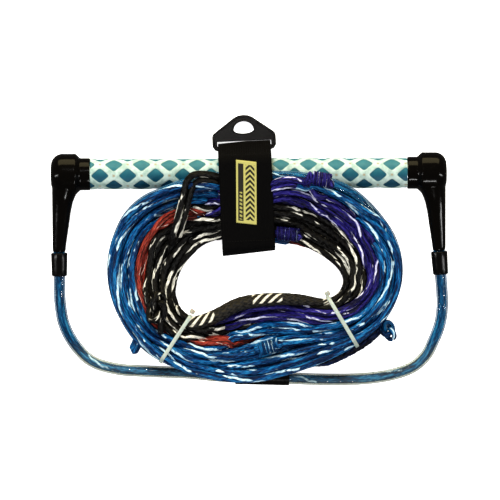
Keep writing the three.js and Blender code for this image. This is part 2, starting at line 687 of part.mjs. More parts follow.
function strapCorners() {
  const half = STRAP_THICKNESS / 2;
  const footY = TAB_PIVOT + STRAP_LOOP_RADIUS / Math.tan(FRONT_LEG_ANGLE / 2);
  const topY = footY - (STRAP_TOP_HEIGHT - half) / Math.tan(FRONT_LEG_ANGLE);
  const upper = STRAP_THICKNESS + half + 2 * PATCH_THICKNESS + 3 * GAP;
  const [riseStart, riseEnd] = OVERLAP_RISE;
  return [[OVERLAP_OUTER_END, half], [footY, half, STRAP_LOOP_RADIUS],
    [topY, STRAP_TOP_HEIGHT, TOP_CORNER],
    [STRAP_INNER_EDGE + INNER_LEAN, STRAP_INNER_HEIGHT, INNER_CORNER],
    [STRAP_INNER_EDGE, half, FOOT_CORNER], [OVERLAP_OUTER_END + riseStart, half, FOOT_CORNER],
    [OVERLAP_OUTER_END + riseEnd, upper, FOOT_CORNER], [OVERLAP_INNER_END, upper]];
}

function labelPath(corners) {
  const top = new THREE.Vector2(corners[2][0], corners[2][1]);
  const inner = new THREE.Vector2(corners[3][0], corners[3][1]);
  const along = inner.sub(top).normalize();
  const start = along.clone().multiplyScalar(LABEL_START).add(top);
  return [start, along.clone().multiplyScalar(LABEL_LENGTH).add(start)];
}

function buildStrap() {
  const half = STRAP_THICKNESS / 2;
  const corners = strapCorners();
  part(strap, 'strap_belt', webbing(roundedPath(corners), -half, half, STRAP_WIDTH), WEBBING);
  const label = webbing(labelPath(corners), half + GAP, half + GAP + LABEL_THICKNESS, LABEL_WIDTH);
  part(strap, 'label_patch', label, LABEL);
  const patchWidth = STRAP_WIDTH - 2 * PATCH_MARGIN;
  const patch = () => new THREE.BoxGeometry(patchWidth, PATCH_LENGTH, PATCH_THICKNESS);
  const middle = (OVERLAP_OUTER_END + OVERLAP_INNER_END) / 2 + 1;
  const loopHeight = STRAP_THICKNESS + GAP + PATCH_THICKNESS / 2;
  const loop = part(strap, 'loop_patch', patch(), WEBBING);
  loop.position.set(0, middle, loopHeight);
  const hook = part(strap, 'hook_patch', patch(), WEBBING);
  hook.position.set(0, middle, loopHeight + PATCH_THICKNESS + GAP);
}

// ---- hang tab -----------------------------------------------------------------------------

function tabOutline() {
  const half = TAB_WIDTH / 2;
  const shape = new THREE.Shape();
  shape.moveTo(-half + TAB_CORNER, -TAB_FOOT);
  shape.lineTo(half - TAB_CORNER, -TAB_FOOT);
  shape.quadraticCurveTo(half, -TAB_FOOT, half, TAB_CORNER - TAB_FOOT);
  shape.lineTo(half, TAB_SIDE_TOP);
  shape.quadraticCurveTo(half, TAB_SHOULDER - TAB_EASE, half - TAB_EASE * 2, TAB_SHOULDER);
  shape.lineTo(TAB_TIP_HALF, TAB_REACH - TAB_TIP_DROP);
  shape.quadraticCurveTo(0, TAB_REACH + TAB_TIP_DROP, -TAB_TIP_HALF, TAB_REACH - TAB_TIP_DROP);
  shape.lineTo(-half + TAB_EASE * 2, TAB_SHOULDER);
  shape.quadraticCurveTo(-half, TAB_SHOULDER - TAB_EASE, -half, TAB_SIDE_TOP);
  shape.lineTo(-half, TAB_CORNER - TAB_FOOT);
  shape.quadraticCurveTo(-half, -TAB_FOOT, -half + TAB_CORNER, -TAB_FOOT);
  return shape;
}

function tabHole() {
  const half = TAB_HOLE_WIDTH / 2;
  const shoulder = TAB_HOLE_FOOT + TAB_HOLE_SHOULDER;
  const hole = new THREE.Path();
  hole.moveTo(0, TAB_HOLE_FOOT);
  hole.quadraticCurveTo(half, TAB_HOLE_FOOT, half, shoulder);
  hole.absellipse(0, shoulder, half, TAB_HOLE_TOP - shoulder, 0, Math.PI, false, 0);
  hole.quadraticCurveTo(-half, TAB_HOLE_FOOT, 0, TAB_HOLE_FOOT);
  return hole;
}

function tabSlot() {
  const half = STRAP_WIDTH / 2 + 2 * GAP;
  const slot = new THREE.Path();
  slot.moveTo(-half, TAB_FOOT);
  slot.lineTo(half, TAB_FOOT);
  slot.lineTo(half, TAB_FOOT + TAB_SLOT);
  slot.lineTo(-half, TAB_FOOT + TAB_SLOT);
  slot.closePath();
  return slot;
}

function buildTab() {
  const shape = tabOutline();
  shape.holes.push(tabHole(), tabSlot());
  const plate = new THREE.ExtrudeGeometry(shape,
    { depth: TAB_THICKNESS, steps: 1, curveSegments: 8, bevelEnabled: false });
  plate.translate(0, 0, -TAB_THICKNESS / 2);
  const pivotHeight = STRAP_LOOP_RADIUS + STRAP_THICKNESS / 2;
  const tab = part(strap, 'hang_tab', plate, TAB_PLASTIC);
  tab.position.set(0, TAB_PIVOT, pivotHeight);
  tab.rotation.x = -Math.asin((pivotHeight - TAB_THICKNESS / 2) / (TAB_REACH + GAP));
}

// ---- assembly -----------------------------------------------------------------------------

buildBar();
buildBarRope();
buildLeg('left', -1, LEFT_LEG);
buildLeg('right', 1, RIGHT_LEG);
buildKeeper('left', -1);
buildKeeper('right', 1);
buildJunction();
buildCoil();
buildLead();
buildKnots();
buildTie('left', ...LEFT_TIE);
buildTie('right', ...RIGHT_TIE);
buildStrap();
buildTab();

export default model;
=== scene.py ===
"""The looks of a tow rope handle: grip, elbow caps, sheathed bridle, coiled line, strap and hang tab."""

import math

import bmesh
import bpy
import numpy as np
from mathutils import Matrix, Vector


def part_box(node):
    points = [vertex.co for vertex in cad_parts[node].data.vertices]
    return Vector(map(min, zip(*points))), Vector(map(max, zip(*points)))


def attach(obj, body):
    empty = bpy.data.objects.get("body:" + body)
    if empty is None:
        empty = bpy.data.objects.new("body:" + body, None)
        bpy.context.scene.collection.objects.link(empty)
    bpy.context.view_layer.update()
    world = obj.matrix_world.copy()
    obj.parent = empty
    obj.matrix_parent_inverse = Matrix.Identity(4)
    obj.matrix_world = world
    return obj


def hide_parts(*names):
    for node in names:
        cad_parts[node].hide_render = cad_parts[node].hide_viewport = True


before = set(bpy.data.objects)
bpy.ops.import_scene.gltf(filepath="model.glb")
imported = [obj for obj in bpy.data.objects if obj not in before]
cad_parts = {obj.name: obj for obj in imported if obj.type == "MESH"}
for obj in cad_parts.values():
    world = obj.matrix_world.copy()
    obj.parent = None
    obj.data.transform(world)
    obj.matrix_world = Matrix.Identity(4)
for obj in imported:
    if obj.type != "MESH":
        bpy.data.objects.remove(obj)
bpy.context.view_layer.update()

MM = 0.001
TURN = 2 * math.pi

# ---- sizes, in metres -----------------------------------------------------------------------

GRIP_LOW, GRIP_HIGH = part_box("grip_sleeve")
AXIS_HEIGHT = (GRIP_LOW.z + GRIP_HIGH.z) / 2
GRIP_RADIUS = 14.5 * MM
GRIP_HALF = (GRIP_HIGH.x - GRIP_LOW.x) / 2

HEAD_RADIUS = 17.5 * MM
CAP_LENGTH = 37 * MM
HEAD_SWELL = 1.9 * MM
COLLAR_LENGTH = 9 * MM
COLLAR_RADIUS = 15.2 * MM
ARM_REACH = 73 * MM
ARM_DROOP = math.radians(5)
RIGHT_LEG_LEAN = math.radians(4)

BRIDLE_ROPE = 8 * MM
SHEATH = 11 * MM
SHEATH_BORE = 8.6 * MM
LINE_ROPE = 6.4 * MM

COIL_CENTRE = np.array([8.5, -99.8]) * MM
OUTER_RADII = np.array([137, 137, 130, 123, 113, 105, 102, 105, 113, 124, 139, 144,
                        143, 137, 129, 117, 108, 102, 99, 96, 99, 105, 117, 129]) * MM
HOLE_RADII = np.array([80, 63, 47, 40, 38, 36, 34, 35, 38, 46, 53, 62,
                       72, 78, 71, 37, 21, 17, 15, 15, 16, 19, 29, 70]) * MM

STRAP_WIDTH = 50 * MM
STRAP_THICKNESS = 1.5 * MM
STRAP_LEAN = math.radians(2.3)
STRAP_CENTRE = -3 * MM
SEAMS = {"upper": -3 * MM, "lower": 80 * MM}
SEAM_MARGIN = 3 * MM
STITCH_PITCH = 2.4 * MM
STITCH_LENGTH = 1.9 * MM
STITCH_THREAD = 0.5 * MM
STITCH_SEED = 5
LOOP_SLOPE = 0.06
LOOP_RISE = 1.6 * MM
LOOP_TOP = 12 * MM
LABEL_WIDTH = 19.3 * MM
LABEL_LENGTH = 60 * MM
LABEL_START = 3.6 * MM
LABEL_TURN = math.radians(-2.3)
LABEL_SKEW = -0.11
TIE_WIDTH = 3.6 * MM
TAB_PIVOT = 24.5 * MM
TAB_PIVOT_HEIGHT = 5 * MM


# ---- camera ---------------------------------------------------------------------------------

def add_object(name, data):
    """A new object in the scene."""
    obj = bpy.data.objects.new(name, data)
    bpy.context.scene.collection.objects.link(obj)
    return obj


def make_camera():
    """Straight above the handle, with a long lens."""
    lens = 250.0
    sensor = 36.0
    span = 0.4725
    middle = (0.0009, -0.0724, 0.02)
    roll = math.radians(-0.25)
    camera = add_object("camera", bpy.data.cameras.new("camera"))
    camera.data.lens = lens
    camera.data.sensor_width = sensor
    camera.data.clip_end = 20
    camera.location = (middle[0], middle[1], middle[2] + span * lens / sensor)
    camera.rotation_euler = (0, 0, roll)
    bpy.context.scene.camera = camera


make_camera()


# ---- curves and tubes -----------------------------------------------------------------------

def arc_lengths(points):
    """How far along a polyline each of its points is."""
    steps = np.linalg.norm(np.diff(points, axis=0), axis=1)
    return np.concatenate([[0.0], np.cumsum(steps)])


def resample(points, spacing):
    """Evenly spaced points along a polyline."""
    along = arc_lengths(points)
    count = max(3, int(round(along[-1] / spacing)) + 1)
    places = np.linspace(0, along[-1], count)
    return np.stack([np.interp(places, along, points[:, k]) for k in range(3)], axis=1)


def smooth_path(points, spacing, fineness=10):
    """A smooth curve through the points (a centripetal spline), evenly spaced."""
    points = np.asarray(points, dtype=float)
    first = 2 * points[0] - points[1]
    last = 2 * points[-1] - points[-2]
    padded = np.vstack([first, points, last])
    p0, p1, p2, p3 = padded[:-3], padded[1:-2], padded[2:-1], padded[3:]
    d01 = np.sqrt(np.linalg.norm(p1 - p0, axis=1))[:, None] + 1e-9
    d12 = np.sqrt(np.linalg.norm(p2 - p1, axis=1))[:, None] + 1e-9
    d23 = np.sqrt(np.linalg.norm(p3 - p2, axis=1))[:, None] + 1e-9
    m1 = (p2 - p1) + d12 * ((p1 - p0) / d01 - (p2 - p0) / (d01 + d12))
    m2 = (p2 - p1) + d12 * ((p3 - p2) / d23 - (p3 - p1) / (d12 + d23))
    rows = []
    for t in np.linspace(0, 1, fineness, endpoint=False):
        t2, t3 = t * t, t * t * t
        rows.append((2 * t3 - 3 * t2 + 1) * p1 + (t3 - 2 * t2 + t) * m1
                    + (3 * t2 - 2 * t3) * p2 + (t3 - t2) * m2)
    dense = np.stack(rows, axis=1).reshape(-1, 3)
    return resample(np.vstack([dense, points[-1]]), spacing)


def frames_along(path):
    """Two unit vectors across the path at each of its points, turned as little as possible."""
    tangents = np.gradient(path, axis=0)
    tangents /= np.linalg.norm(tangents, axis=1)[:, None]
    side = np.cross(tangents[0], [0, 0, 1.0])
    if np.linalg.norm(side) < 0.1:
        side = np.cross(tangents[0], [1.0, 0, 0])
    sides = np.empty_like(path)
    for i, tangent in enumerate(tangents):
        side = side - tangent * side.dot(tangent)
        side = side / math.sqrt(side.dot(side))
        sides[i] = side
    return sides, np.cross(tangents, sides)


def mesh_object(name, points, quads, caps=(), smooth=True):
    """A mesh from an array of points, an array of four-sided faces and some many-sided ones."""
    mesh = bpy.data.meshes.new(name)
    faces = [tuple(q) for q in np.asarray(quads).tolist()] + [tuple(c) for c in caps]
    mesh.from_pydata(np.asarray(points).tolist(), [], faces)
    if smooth:
        mesh.polygons.foreach_set("use_smooth", [len(f) == 4 for f in faces])
    mesh.update()
    return add_object(name, mesh)


def grid_quads(rows, columns, closed_rows=False, closed_columns=False):
    """Faces of a grid of points numbered row by row."""
    i = np.arange(rows if closed_rows else rows - 1)[:, None]
    j = np.arange(columns if closed_columns else columns - 1)[None, :]
    i2, j2 = (i + 1) % rows, (j + 1) % columns
    corners = [i * columns + j, i * columns + j2, i2 * columns + j2, i2 * columns + j]
    return np.stack([np.broadcast_to(c, (i.size, j.size)).ravel() for c in corners], axis=1)


def end_caps(rows, columns):
    """Faces that close the first and the last row of a grid."""
    end = (rows - 1) * columns
    return [list(range(columns)), list(range(end, end + columns))]


def rings_along(path, sides):
    """Unit vectors that point out from a path, all round it at each of its points."""
    across, up = frames_along(path)
    angle = TURN * np.arange(sides) / sides
    return (np.cos(angle)[None, :, None] * across[:, None, :]
            + np.sin(angle)[None, :, None] * up[:, None, :])


def set_uv(obj, around, along, columns):
    """A UV map from each point's share of the way round and its distance along."""
    mesh = obj.data
    layer = mesh.uv_layers.new(name="UVMap")
    loop_points = np.empty(len(mesh.loops), dtype=np.int32)
    mesh.loops.foreach_get("vertex_index", loop_points)
    u = around[loop_points % columns].copy()
    v = along[loop_points // columns]
    starts = np.empty(len(mesh.polygons), dtype=np.int32)
    mesh.polygons.foreach_get("loop_start", starts)
    totals = np.empty(len(mesh.polygons), dtype=np.int32)
    mesh.polygons.foreach_get("loop_total", totals)
    four = starts[totals == 4]
    for k in range(4):
        across_seam = (u[four + k] == 0) & (u[four + (k + 1) % 4] + u[four + (k + 3) % 4] > 0.6)
        u[(four + k)[across_seam]] = 1.0
    layer.data.foreach_set("uv", np.stack([u, v], axis=1).ravel())


def braid_relief(around, along, strands, cell):
    """How high a braid's strands stand at each place, from 0 between strands to 1 on one."""
    a = strands * around + along / cell
    b = strands * around - along / cell
    over = (np.floor(a) + np.floor(b)) % 2 < 0.5
    return np.where(over, np.abs(np.sin(math.pi * a)), np.abs(np.sin(math.pi * b)))


def rope_mesh(name, path, diameter, strands=8, cell=4.6 * MM, relief=0.14 * MM, sides=16,
              swell=None):
    """A braided rope along an evenly spaced path, with its strands in relief and rounded ends."""
    along = arc_lengths(path)
    around = np.arange(sides) / sides
    height = braid_relief(around[None, :], along[:, None], strands, cell)
    radius = diameter / 2 - relief + relief * height
    from_end = np.minimum(along, along[-1] - along)
    cover = np.clip(from_end / (diameter * 0.5), 0.02, 1)
    radius = radius * np.sqrt(cover * (2 - cover))[:, None]
    if swell is not None:
        radius = radius * swell[:, None]
    points = (path[:, None, :] + radius[:, :, None] * rings_along(path, sides)).reshape(-1, 3)
    quads = grid_quads(len(path), sides, closed_columns=True)
    obj = mesh_object(name, points, quads[:, ::-1], end_caps(len(path), sides))
    recalculate(obj)
    set_uv(obj, around, along, sides)
    return obj


def recalculate(obj, merge=0.0):
    """Turns the faces outwards, once points closer than the merge distance are one."""
    work = bmesh.new()
    work.from_mesh(obj.data)
    if merge:
        bmesh.ops.remove_doubles(work, verts=work.verts, dist=merge)
    bmesh.ops.recalc_face_normals(work, faces=work.faces)
    work.to_mesh(obj.data)
    work.free()


def tube_wall(name, path, outer, inner, sides=28):
    """A hollow tube along an evenly spaced path."""
    ring = rings_along(path, sides)
    outside = path[:, None, :] + outer / 2 * ring
    inside = path[:, None, :] + inner / 2 * ring
    loop = np.concatenate([outside, inside[::-1]], axis=0)
    points = loop.reshape(-1, 3)
    quads = grid_quads(len(loop), sides, closed_rows=True, closed_columns=True)
    obj = mesh_object(name, points, quads)
    recalculate(obj)
    return obj


# ---- bridle legs ----------------------------------------------------------------------------

LEFT_LEG = np.array([[-179.2, -124, 6.9], [-175.8, -142, 6.1],
                     [-166.3, -160.5, 5.7], [-150.3, -176.8, 5.7], [-126.6, -184.6, 5.7],
                     [-93.6, -187.2, 5.7], [-56, -189, 6], [-30, -191.6, 6.8],
                     [-13, -192.3, 7.1], [4, -192.9, 7.1], [11.7, -193.2, 7.1]]) * MM
RIGHT_LEG = np.array([[183.1, -126, 6.9], [180.8, -143, 6.1],
                      [174.3, -160, 5.7], [167, -173.5, 5.7], [155, -184, 5.7],
                      [138, -190.4, 5.7], [114.3, -194.4, 5.7], [92, -195.6, 5.7],
                      [66, -195.4, 6.3], [50, -194.8, 7], [36, -194, 7.1],
                      [20, -193.4, 7.1], [12.3, -193.2, 7.1]]) * MM
ROPE_STEP = 2.2 * MM
ARM_TIP_OUT = 179.9 * MM
STRAIGHT_RUN = np.array([0.6, 10.4, 20.8, 31.2, 41.6]) * MM


def arm_tip(side):
    """The middle of an arm's tip; side is -1 for left and 1 for right."""
    return np.array([side * ARM_TIP_OUT, -ARM_REACH * math.cos(ARM_DROOP),
                     AXIS_HEIGHT - ARM_REACH * math.sin(ARM_DROOP)])


def leg_direction(side):
    """Which way a leg leaves its arm."""
    lean = RIGHT_LEG_LEAN if side > 0 else 0.0
    return np.array([side * math.sin(lean), -math.cos(lean) * math.cos(ARM_DROOP),
                     -math.cos(lean) * math.sin(ARM_DROOP)])


def leg_path(side, route):
    """A leg: straight out through its keeper, then along the surface to the junction."""
    straight = [arm_tip(side) + leg_direction(side) * distance for distance in STRAIGHT_RUN]
    return smooth_path(np.vstack([straight, route]), ROPE_STEP)


LEG_PATHS = {"left": leg_path(-1, LEFT_LEG), "right": leg_path(1, RIGHT_LEG)}


# ---- the coil's outline ---------------------------------------------------------------------

def outline_radius(radii, angle):
    """A smooth closed outline: the radius at any angle from radii at even steps round it."""
    turn = (np.asarray(angle) / TURN % 1.0) * len(radii)
    index = np.floor(turn).astype(int) % len(radii)
    t = turn - np.floor(turn)
    at = [radii[(index + k) % len(radii)] for k in (-1, 0, 1, 2)]
    slope_in, slope_out = (at[2] - at[0]) / 2, (at[3] - at[1]) / 2
    rise = at[2] - at[1]
    return at[1] + t * (slope_in + t * (3 * rise - 2 * slope_in - slope_out
                                        + t * (slope_in + slope_out - 2 * rise)))


BAND_ROOM = 2 * MM
BAR_SIDE = -45 * MM
BAR_CLIMB = 0.8
BRIDLE_SIDE = -153 * MM
BRIDLE_CLIMB = 0.73
BRIDLE_REACH = 18 * MM


def band_room(angle):
    """The gap for the tie bands below the bundle, which closes near its left and right ends."""
    s = np.clip((np.abs(np.sin(angle)) - 0.1) / 0.15, 0, 1)
    return BAND_ROOM * s * s * (3 - 2 * s)


def bundle_base(angle, y):
    """How high the bundle's underside is: it climbs the bar and crosses over the bridle."""
    over_bar = BAR_CLIMB * np.maximum(0, y - BAR_SIDE)
    over_bridle = BRIDLE_CLIMB * np.clip(BRIDLE_SIDE - y, 0, BRIDLE_REACH)
    return band_room(angle) + over_bar + over_bridle


LEAD_START = np.array([[16, -180.9, 7.1], [29, -181.2, 7.1], [40, -181.5, 7.1],
                       [50, -180.6, 7.1]]) * MM
LEAD_FROM = math.radians(-52)
LEAD_TO = math.radians(223)
LEAD_CLIMB = 0.64
LEAD_FOOT = -59 * MM
LEAD_GAP = 0.3 * MM


def lead_path():
    """The sheathed lead, from the junction once round the coil's rim."""
    angle = np.linspace(LEAD_FROM, LEAD_TO, 33)
    radius = outline_radius(OUTER_RADII, angle) - SHEATH / 2
    x = COIL_CENTRE[0] + radius * np.cos(angle)
    y = COIL_CENTRE[1] + radius * np.sin(angle)
    on_bar = AXIS_HEIGHT + GRIP_RADIUS + SHEATH / 2 + LEAD_GAP
    on_surface = SHEATH / 2 + band_room(angle)
    z = np.minimum(on_bar, on_surface + LEAD_CLIMB * np.maximum(0, y - LEAD_FOOT))
    return smooth_path(np.vstack([LEAD_START, np.stack([x, y, z], axis=1)]), ROPE_STEP)


LEAD_PATH = lead_path()


# ---- the coiled line ------------------------------------------------------------------------

SECTIONS = 112
OUTLINE_STEPS = 1440
HALF_WINDOW = 120


def coil_sections():
    """Cross-sections square to the bundle: their middles, outward directions and widths."""
    angle = np.linspace(0, TURN, OUTLINE_STEPS, endpoint=False)
    middle = (outline_radius(OUTER_RADII, angle) + outline_radius(HOLE_RADII, angle)) / 2
    window = np.hanning(2 * HALF_WINDOW + 1)
    window /= window.sum()
    wrapped = np.concatenate([middle[-HALF_WINDOW:], middle, middle[:HALF_WINDOW]])
    middle = np.convolve(wrapped, window, mode="valid")
    line = COIL_CENTRE + middle[:, None] * np.stack([np.cos(angle), np.sin(angle)], axis=1)
    closed = np.vstack([line, line[:1]])
    along = arc_lengths(closed)
    places = np.linspace(0, along[-1], SECTIONS, endpoint=False)
    centre = np.stack([np.interp(places, along, closed[:, k]) for k in range(2)], axis=1)
    tangent = np.roll(centre, -1, axis=0) - np.roll(centre, 1, axis=0)
    tangent /= np.linalg.norm(tangent, axis=1)[:, None]
    outward = np.stack([tangent[:, 1], -tangent[:, 0]], axis=1)
    return centre, outward


def reach_to(centre, direction, inside):
    """How far one can go from each centre in its direction before leaving the region."""
    reach = np.zeros(len(centre))
    going = np.ones(len(centre), dtype=bool)
    for distance in np.arange(0.5, 75, 0.5) * MM:
        place = centre + direction * distance - COIL_CENTRE
        going &= inside(np.arctan2(place[:, 1], place[:, 0]), np.hypot(place[:, 0], place[:, 1]))
        reach[going] = distance
    spread = np.array([1, 2, 3, 2, 1]) / 9
    wrapped = np.concatenate([reach[-2:], reach, reach[:2]])
    return np.convolve(wrapped, spread, mode="valid")


CENTRE, OUTWARD = coil_sections()
RIM = reach_to(CENTRE, OUTWARD, lambda a, r: r < outline_radius(OUTER_RADII, a))
HOLE = reach_to(CENTRE, -OUTWARD, lambda a, r: r > outline_radius(HOLE_RADII, a))
SECTION_ANGLE = np.arctan2(CENTRE[:, 1] - COIL_CENTRE[1], CENTRE[:, 0] - COIL_CENTRE[0])

# Where each colour lies in the bundle at a few angles round the coil: the inner and outer
# shares of the width, then the lower and upper shares of the height.
STATIONS = (0, 45, 68, 90, 112, 124, 135, 180, 215, 245, 270, 325)
COLOURS = {
    "blue": {"turns": 16, "seam": 283, "places": (
        (0.62, 0.97, 0.05, 1.0), (0.35, 0.97, 0.0, 0.55), (0.0, 0.92, 0.0, 0.42),
        (0.0, 0.92, 0.0, 0.4), (0.0, 0.97, 0.0, 0.5), (0.25, 0.97, 0.0, 0.8),
        (0.5, 0.98, 0.0, 0.95), (0.62, 0.99, 0.0, 1.0), (0.42, 0.99, 0.05, 1.0),
        (0.34, 0.99, 0.2, 1.0), (0.24, 0.99, 0.3, 1.0), (0.28, 0.97, 0.25, 1.0))},
    "purple": {"turns": 7, "seam": 57, "places": (
        (0.4, 0.64, 0.3, 1.0), (0.58, 0.88, 0.55, 1.0), (0.62, 0.96, 0.7, 1.1),
        (0.6, 0.95, 0.6, 1.0), (0.46, 0.8, 0.6, 1.0), (0.42, 0.75, 0.4, 0.9),
        (0.3, 0.7, 0.1, 0.5), (0.2, 0.6, 0.0, 0.35), (0.1, 0.35, 0.0, 0.5),
        (0.1, 0.3, 0.1, 0.9), (0.1, 0.26, 0.3, 1.0), (0.12, 0.32, 0.5, 1.0))},
    "red": {"turns": 5, "seam": 95, "places": (
        (0.1, 0.5, 0.0, 0.3), (0.05, 0.4, 0.0, 0.3), (0.05, 0.4, 0.0, 0.3),
        (0.02, 0.22, 0.4, 0.8), (0.0, 0.16, 0.6, 1.0), (0.3, 0.5, 0.1, 0.4),
        (0.62, 0.76, 0.5, 1.1), (0.52, 0.62, 0.3, 1.05), (0.34, 0.48, 0.3, 0.8),
        (0.44, 0.52, 0.4, 0.95), (0.38, 0.5, 0.1, 0.6), (0.3, 0.55, 0.0, 0.3))},
    "black": {"turns": 12, "seam": 203, "places": (
        (0.0, 0.42, 0.3, 1.0), (0.08, 0.56, 0.4, 1.0), (0.15, 0.62, 0.45, 1.0),
        (0.2, 0.62, 0.45, 1.0), (0.18, 0.5, 0.5, 1.0), (0.1, 0.6, 0.5, 1.0),
        (0.1, 0.66, 0.4, 1.0), (0.0, 0.52, 0.35, 1.0), (0.06, 0.42, 0.3, 1.0),
        (0.03, 0.4, 0.1, 0.7), (0.02, 0.34, 0.0, 0.5), (0.0, 0.3, 0.0, 0.7))},
}
BUNDLE_AREA = 1560 * MM * MM
GOLDEN = 0.618034


LEAST_HEIGHT = 22 * MM
MOST_HEIGHT = 36 * MM
BAR_BLEND = 35 * MM
BRIDLE_FROM = -160 * MM
BRIDLE_BLEND = 25 * MM
LOWER_AT_BAR = 0.42
LOWER_AT_BRIDLE = 0.2


def bundle_height(y, width):
    """The bundle's height where it is this wide, lower where it crosses the bar and the bridle."""
    height = np.clip(BUNDLE_AREA / width, LEAST_HEIGHT, MOST_HEIGHT)
    near_bar = np.clip((y - BAR_SIDE) / BAR_BLEND, 0, 1)
    near_bridle = np.clip((BRIDLE_FROM - y) / BRIDLE_BLEND, 0, 1)
    return height * (1 - LOWER_AT_BAR * near_bar) * (1 - LOWER_AT_BRIDLE * near_bridle)


def place_at(places, angle):
    """A colour's place in the bundle, blended between the stations."""
    degrees = np.degrees(angle) % 360
    stations = np.array(STATIONS + (360,))
    rows = np.array(places + (places[0],))
    return np.stack([np.interp(degrees, stations, rows[:, k]) for k in range(4)], axis=-1)


CHANGE_FROM = 0.62
CHANGE_SPAN = 0.38
ORDER_SHIFT = 0.3
EDGE_LIFT = 9 * MM
EDGE_FROM = 0.88
EDGE_SPAN = 0.06


def wanted_places(colour, order):
    """Where each turn of a colour would lie, before the turns press on each other."""
    turns = colour["turns"]
    seam = int(np.argmin(np.abs((SECTION_ANGLE % TURN) - math.radians(colour["seam"]))))
    index = np.arange(turns * SECTIONS)
    section = (seam + index) % SECTIONS
    turn = index // SECTIONS
    share = (index % SECTIONS) / SECTIONS
    change = np.clip((share - CHANGE_FROM) / CHANGE_SPAN, 0, 1)
    change = change * change * (3 - 2 * change) * (turn < turns - 1)
    inner, outer, low, high = np.moveaxis(place_at(colour["places"], SECTION_ANGLE[section]), -1, 0)

    def spot(k):
        across = inner + (outer - inner) * (k + 0.5) / turns
        above = low + (high - low) * ((k * GOLDEN + ORDER_SHIFT * order) % 1.0)
        return across, above

    here, later = spot(turn), spot(turn + 1)
    across = here[0] + (later[0] - here[0]) * change
    above = here[1] + (later[1] - here[1]) * change
    width = (RIM + HOLE)[section]
    x = -HOLE[section] + LINE_ROPE / 2 + across * (width - LINE_ROPE)
    y = CENTRE[section, 1] + x * OUTWARD[section, 1]
    thick = bundle_height(y, width) - LINE_ROPE
    z = bundle_base(SECTION_ANGLE[section], y) + LINE_ROPE / 2 + above * thick
    z = z + EDGE_LIFT * np.clip((across - EDGE_FROM) / EDGE_SPAN, 0, 1)
    return section, x, z


CROSSING_REACH = 90 * MM


def crossings(path):
    """Where a fixed rope crosses each section: its offset and height, far away if it doesn't."""
    tangent = np.stack([-OUTWARD[:, 1], OUTWARD[:, 0]], axis=1)
    offset = path[None, :, :2] - CENTRE[:, None, :]
    ahead = np.abs(np.einsum("ijk,ik->ij", offset, tangent))
    across = np.einsum("ijk,ik->ij", offset, OUTWARD)
    ahead = ahead + np.where(np.abs(across) > CROSSING_REACH, 1.0, 0.0)
    nearest = np.argmin(ahead, axis=1)
    rows = np.arange(SECTIONS)
    crosses = ahead[rows, nearest] < 4 * MM
    x = np.where(crosses, across[rows, nearest], 10.0)
    z = np.where(crosses, path[nearest, 2], 10.0)
    return x, z


RIM_MARGIN = 0.9 * MM
STRAP_TOP_OUTER = np.array([15.3, 48.5]) * MM
STRAP_TOP_INNER = np.array([-73.5, 31.0]) * MM
STRAP_BACK = -76 * MM
STRAP_SIDE_ROOM = 2 * MM
STRAP_FOOT = 1.6 * MM
LEAST_FACING = 0.3
FLOOR_GAP = 0.1 * MM
BAR_GAP = 0.2 * MM
STRAP_GAP = 1.2 * MM


def keep_in_bounds(section, x, z, radius):
    """The surface below, the bar, the strap and the rim of the coil hold the rope."""
    y = CENTRE[section, 1] + x * OUTWARD[section, 1]
    world_x = CENTRE[section, 0] + x * OUTWARD[section, 0]
    floor = radius + FLOOR_GAP
    beside = STRAP_WIDTH / 2 + STRAP_SIDE_ROOM
    under_strap = (np.abs(world_x - STRAP_CENTRE) < beside) & (y > STRAP_BACK)
    z = np.maximum(z, floor + np.where(under_strap, STRAP_FOOT, 0))
    away = GRIP_RADIUS + radius + BAR_GAP
    dz = z - AXIS_HEIGHT
    distance = np.hypot(y, dz) + 1e-9
    push = np.where(distance < away, away / distance - 1, 0)
    faces_bar = np.abs(OUTWARD[section, 1]) > LEAST_FACING
    facing = np.where(faces_bar, OUTWARD[section, 1], LEAST_FACING)
    x = x + y * push / facing * faces_bar
    z = z + dz * push
    slope = (STRAP_TOP_OUTER[1] - STRAP_TOP_INNER[1]) / (STRAP_TOP_OUTER[0] - STRAP_TOP_INNER[0])
    ceiling = STRAP_TOP_INNER[1] + slope * (y - STRAP_TOP_INNER[0]) - STRAP_GAP - radius
    z = np.where(under_strap, np.minimum(z, ceiling), z)
    return np.clip(x, -HOLE[section] + radius, RIM[section] - radius - RIM_MARGIN), z


JUNCTION_LOW = -14 * MM
JUNCTION_HIGH = 38 * MM
JUNCTION_BACK = -0.15
JUNCTION_RADIUS = 7.2 * MM
JUNCTION_SPREAD = 12.4 * MM


def fixed_ropes():
    """Where the lead, the legs and the junction sleeve cross each section, with their radii."""
    fixed = [crossings(LEAD_PATH) + (SHEATH / 2,)]
    for path in LEG_PATHS.values():
        in_junction = ((path[:, 0] > JUNCTION_LOW) & (path[:, 0] < JUNCTION_HIGH)
                       & (path[:, 1] < JUNCTION_BACK))
        fixed.append(crossings(path[~in_junction]) + (SHEATH / 2,))
        if in_junction.sum() > 2:
            fixed.append(crossings(path[in_junction]) + (JUNCTION_RADIUS,))
            lead_side = path[in_junction] + np.array([0, JUNCTION_SPREAD, 0])
            fixed.append(crossings(lead_side) + (JUNCTION_RADIUS,))
    return fixed


JITTER = 0.4 * MM
JITTER_SEED = 7
ROUNDS = 260
EARLY_PULL = 0.12
STEADY_PULL = 0.02
SETTLING = 0.05 * MM
EASING = 0.22
PRESSING = 0.28


def ease_lines(values, ends):
    """Draws each point towards the middle of its two neighbours on the same line."""
    start = 0
    for end in ends:
        part = values[start:end]
        part[1:-1] += EASING * ((part[:-2] + part[2:]) / 2 - part[1:-1])
        start = end


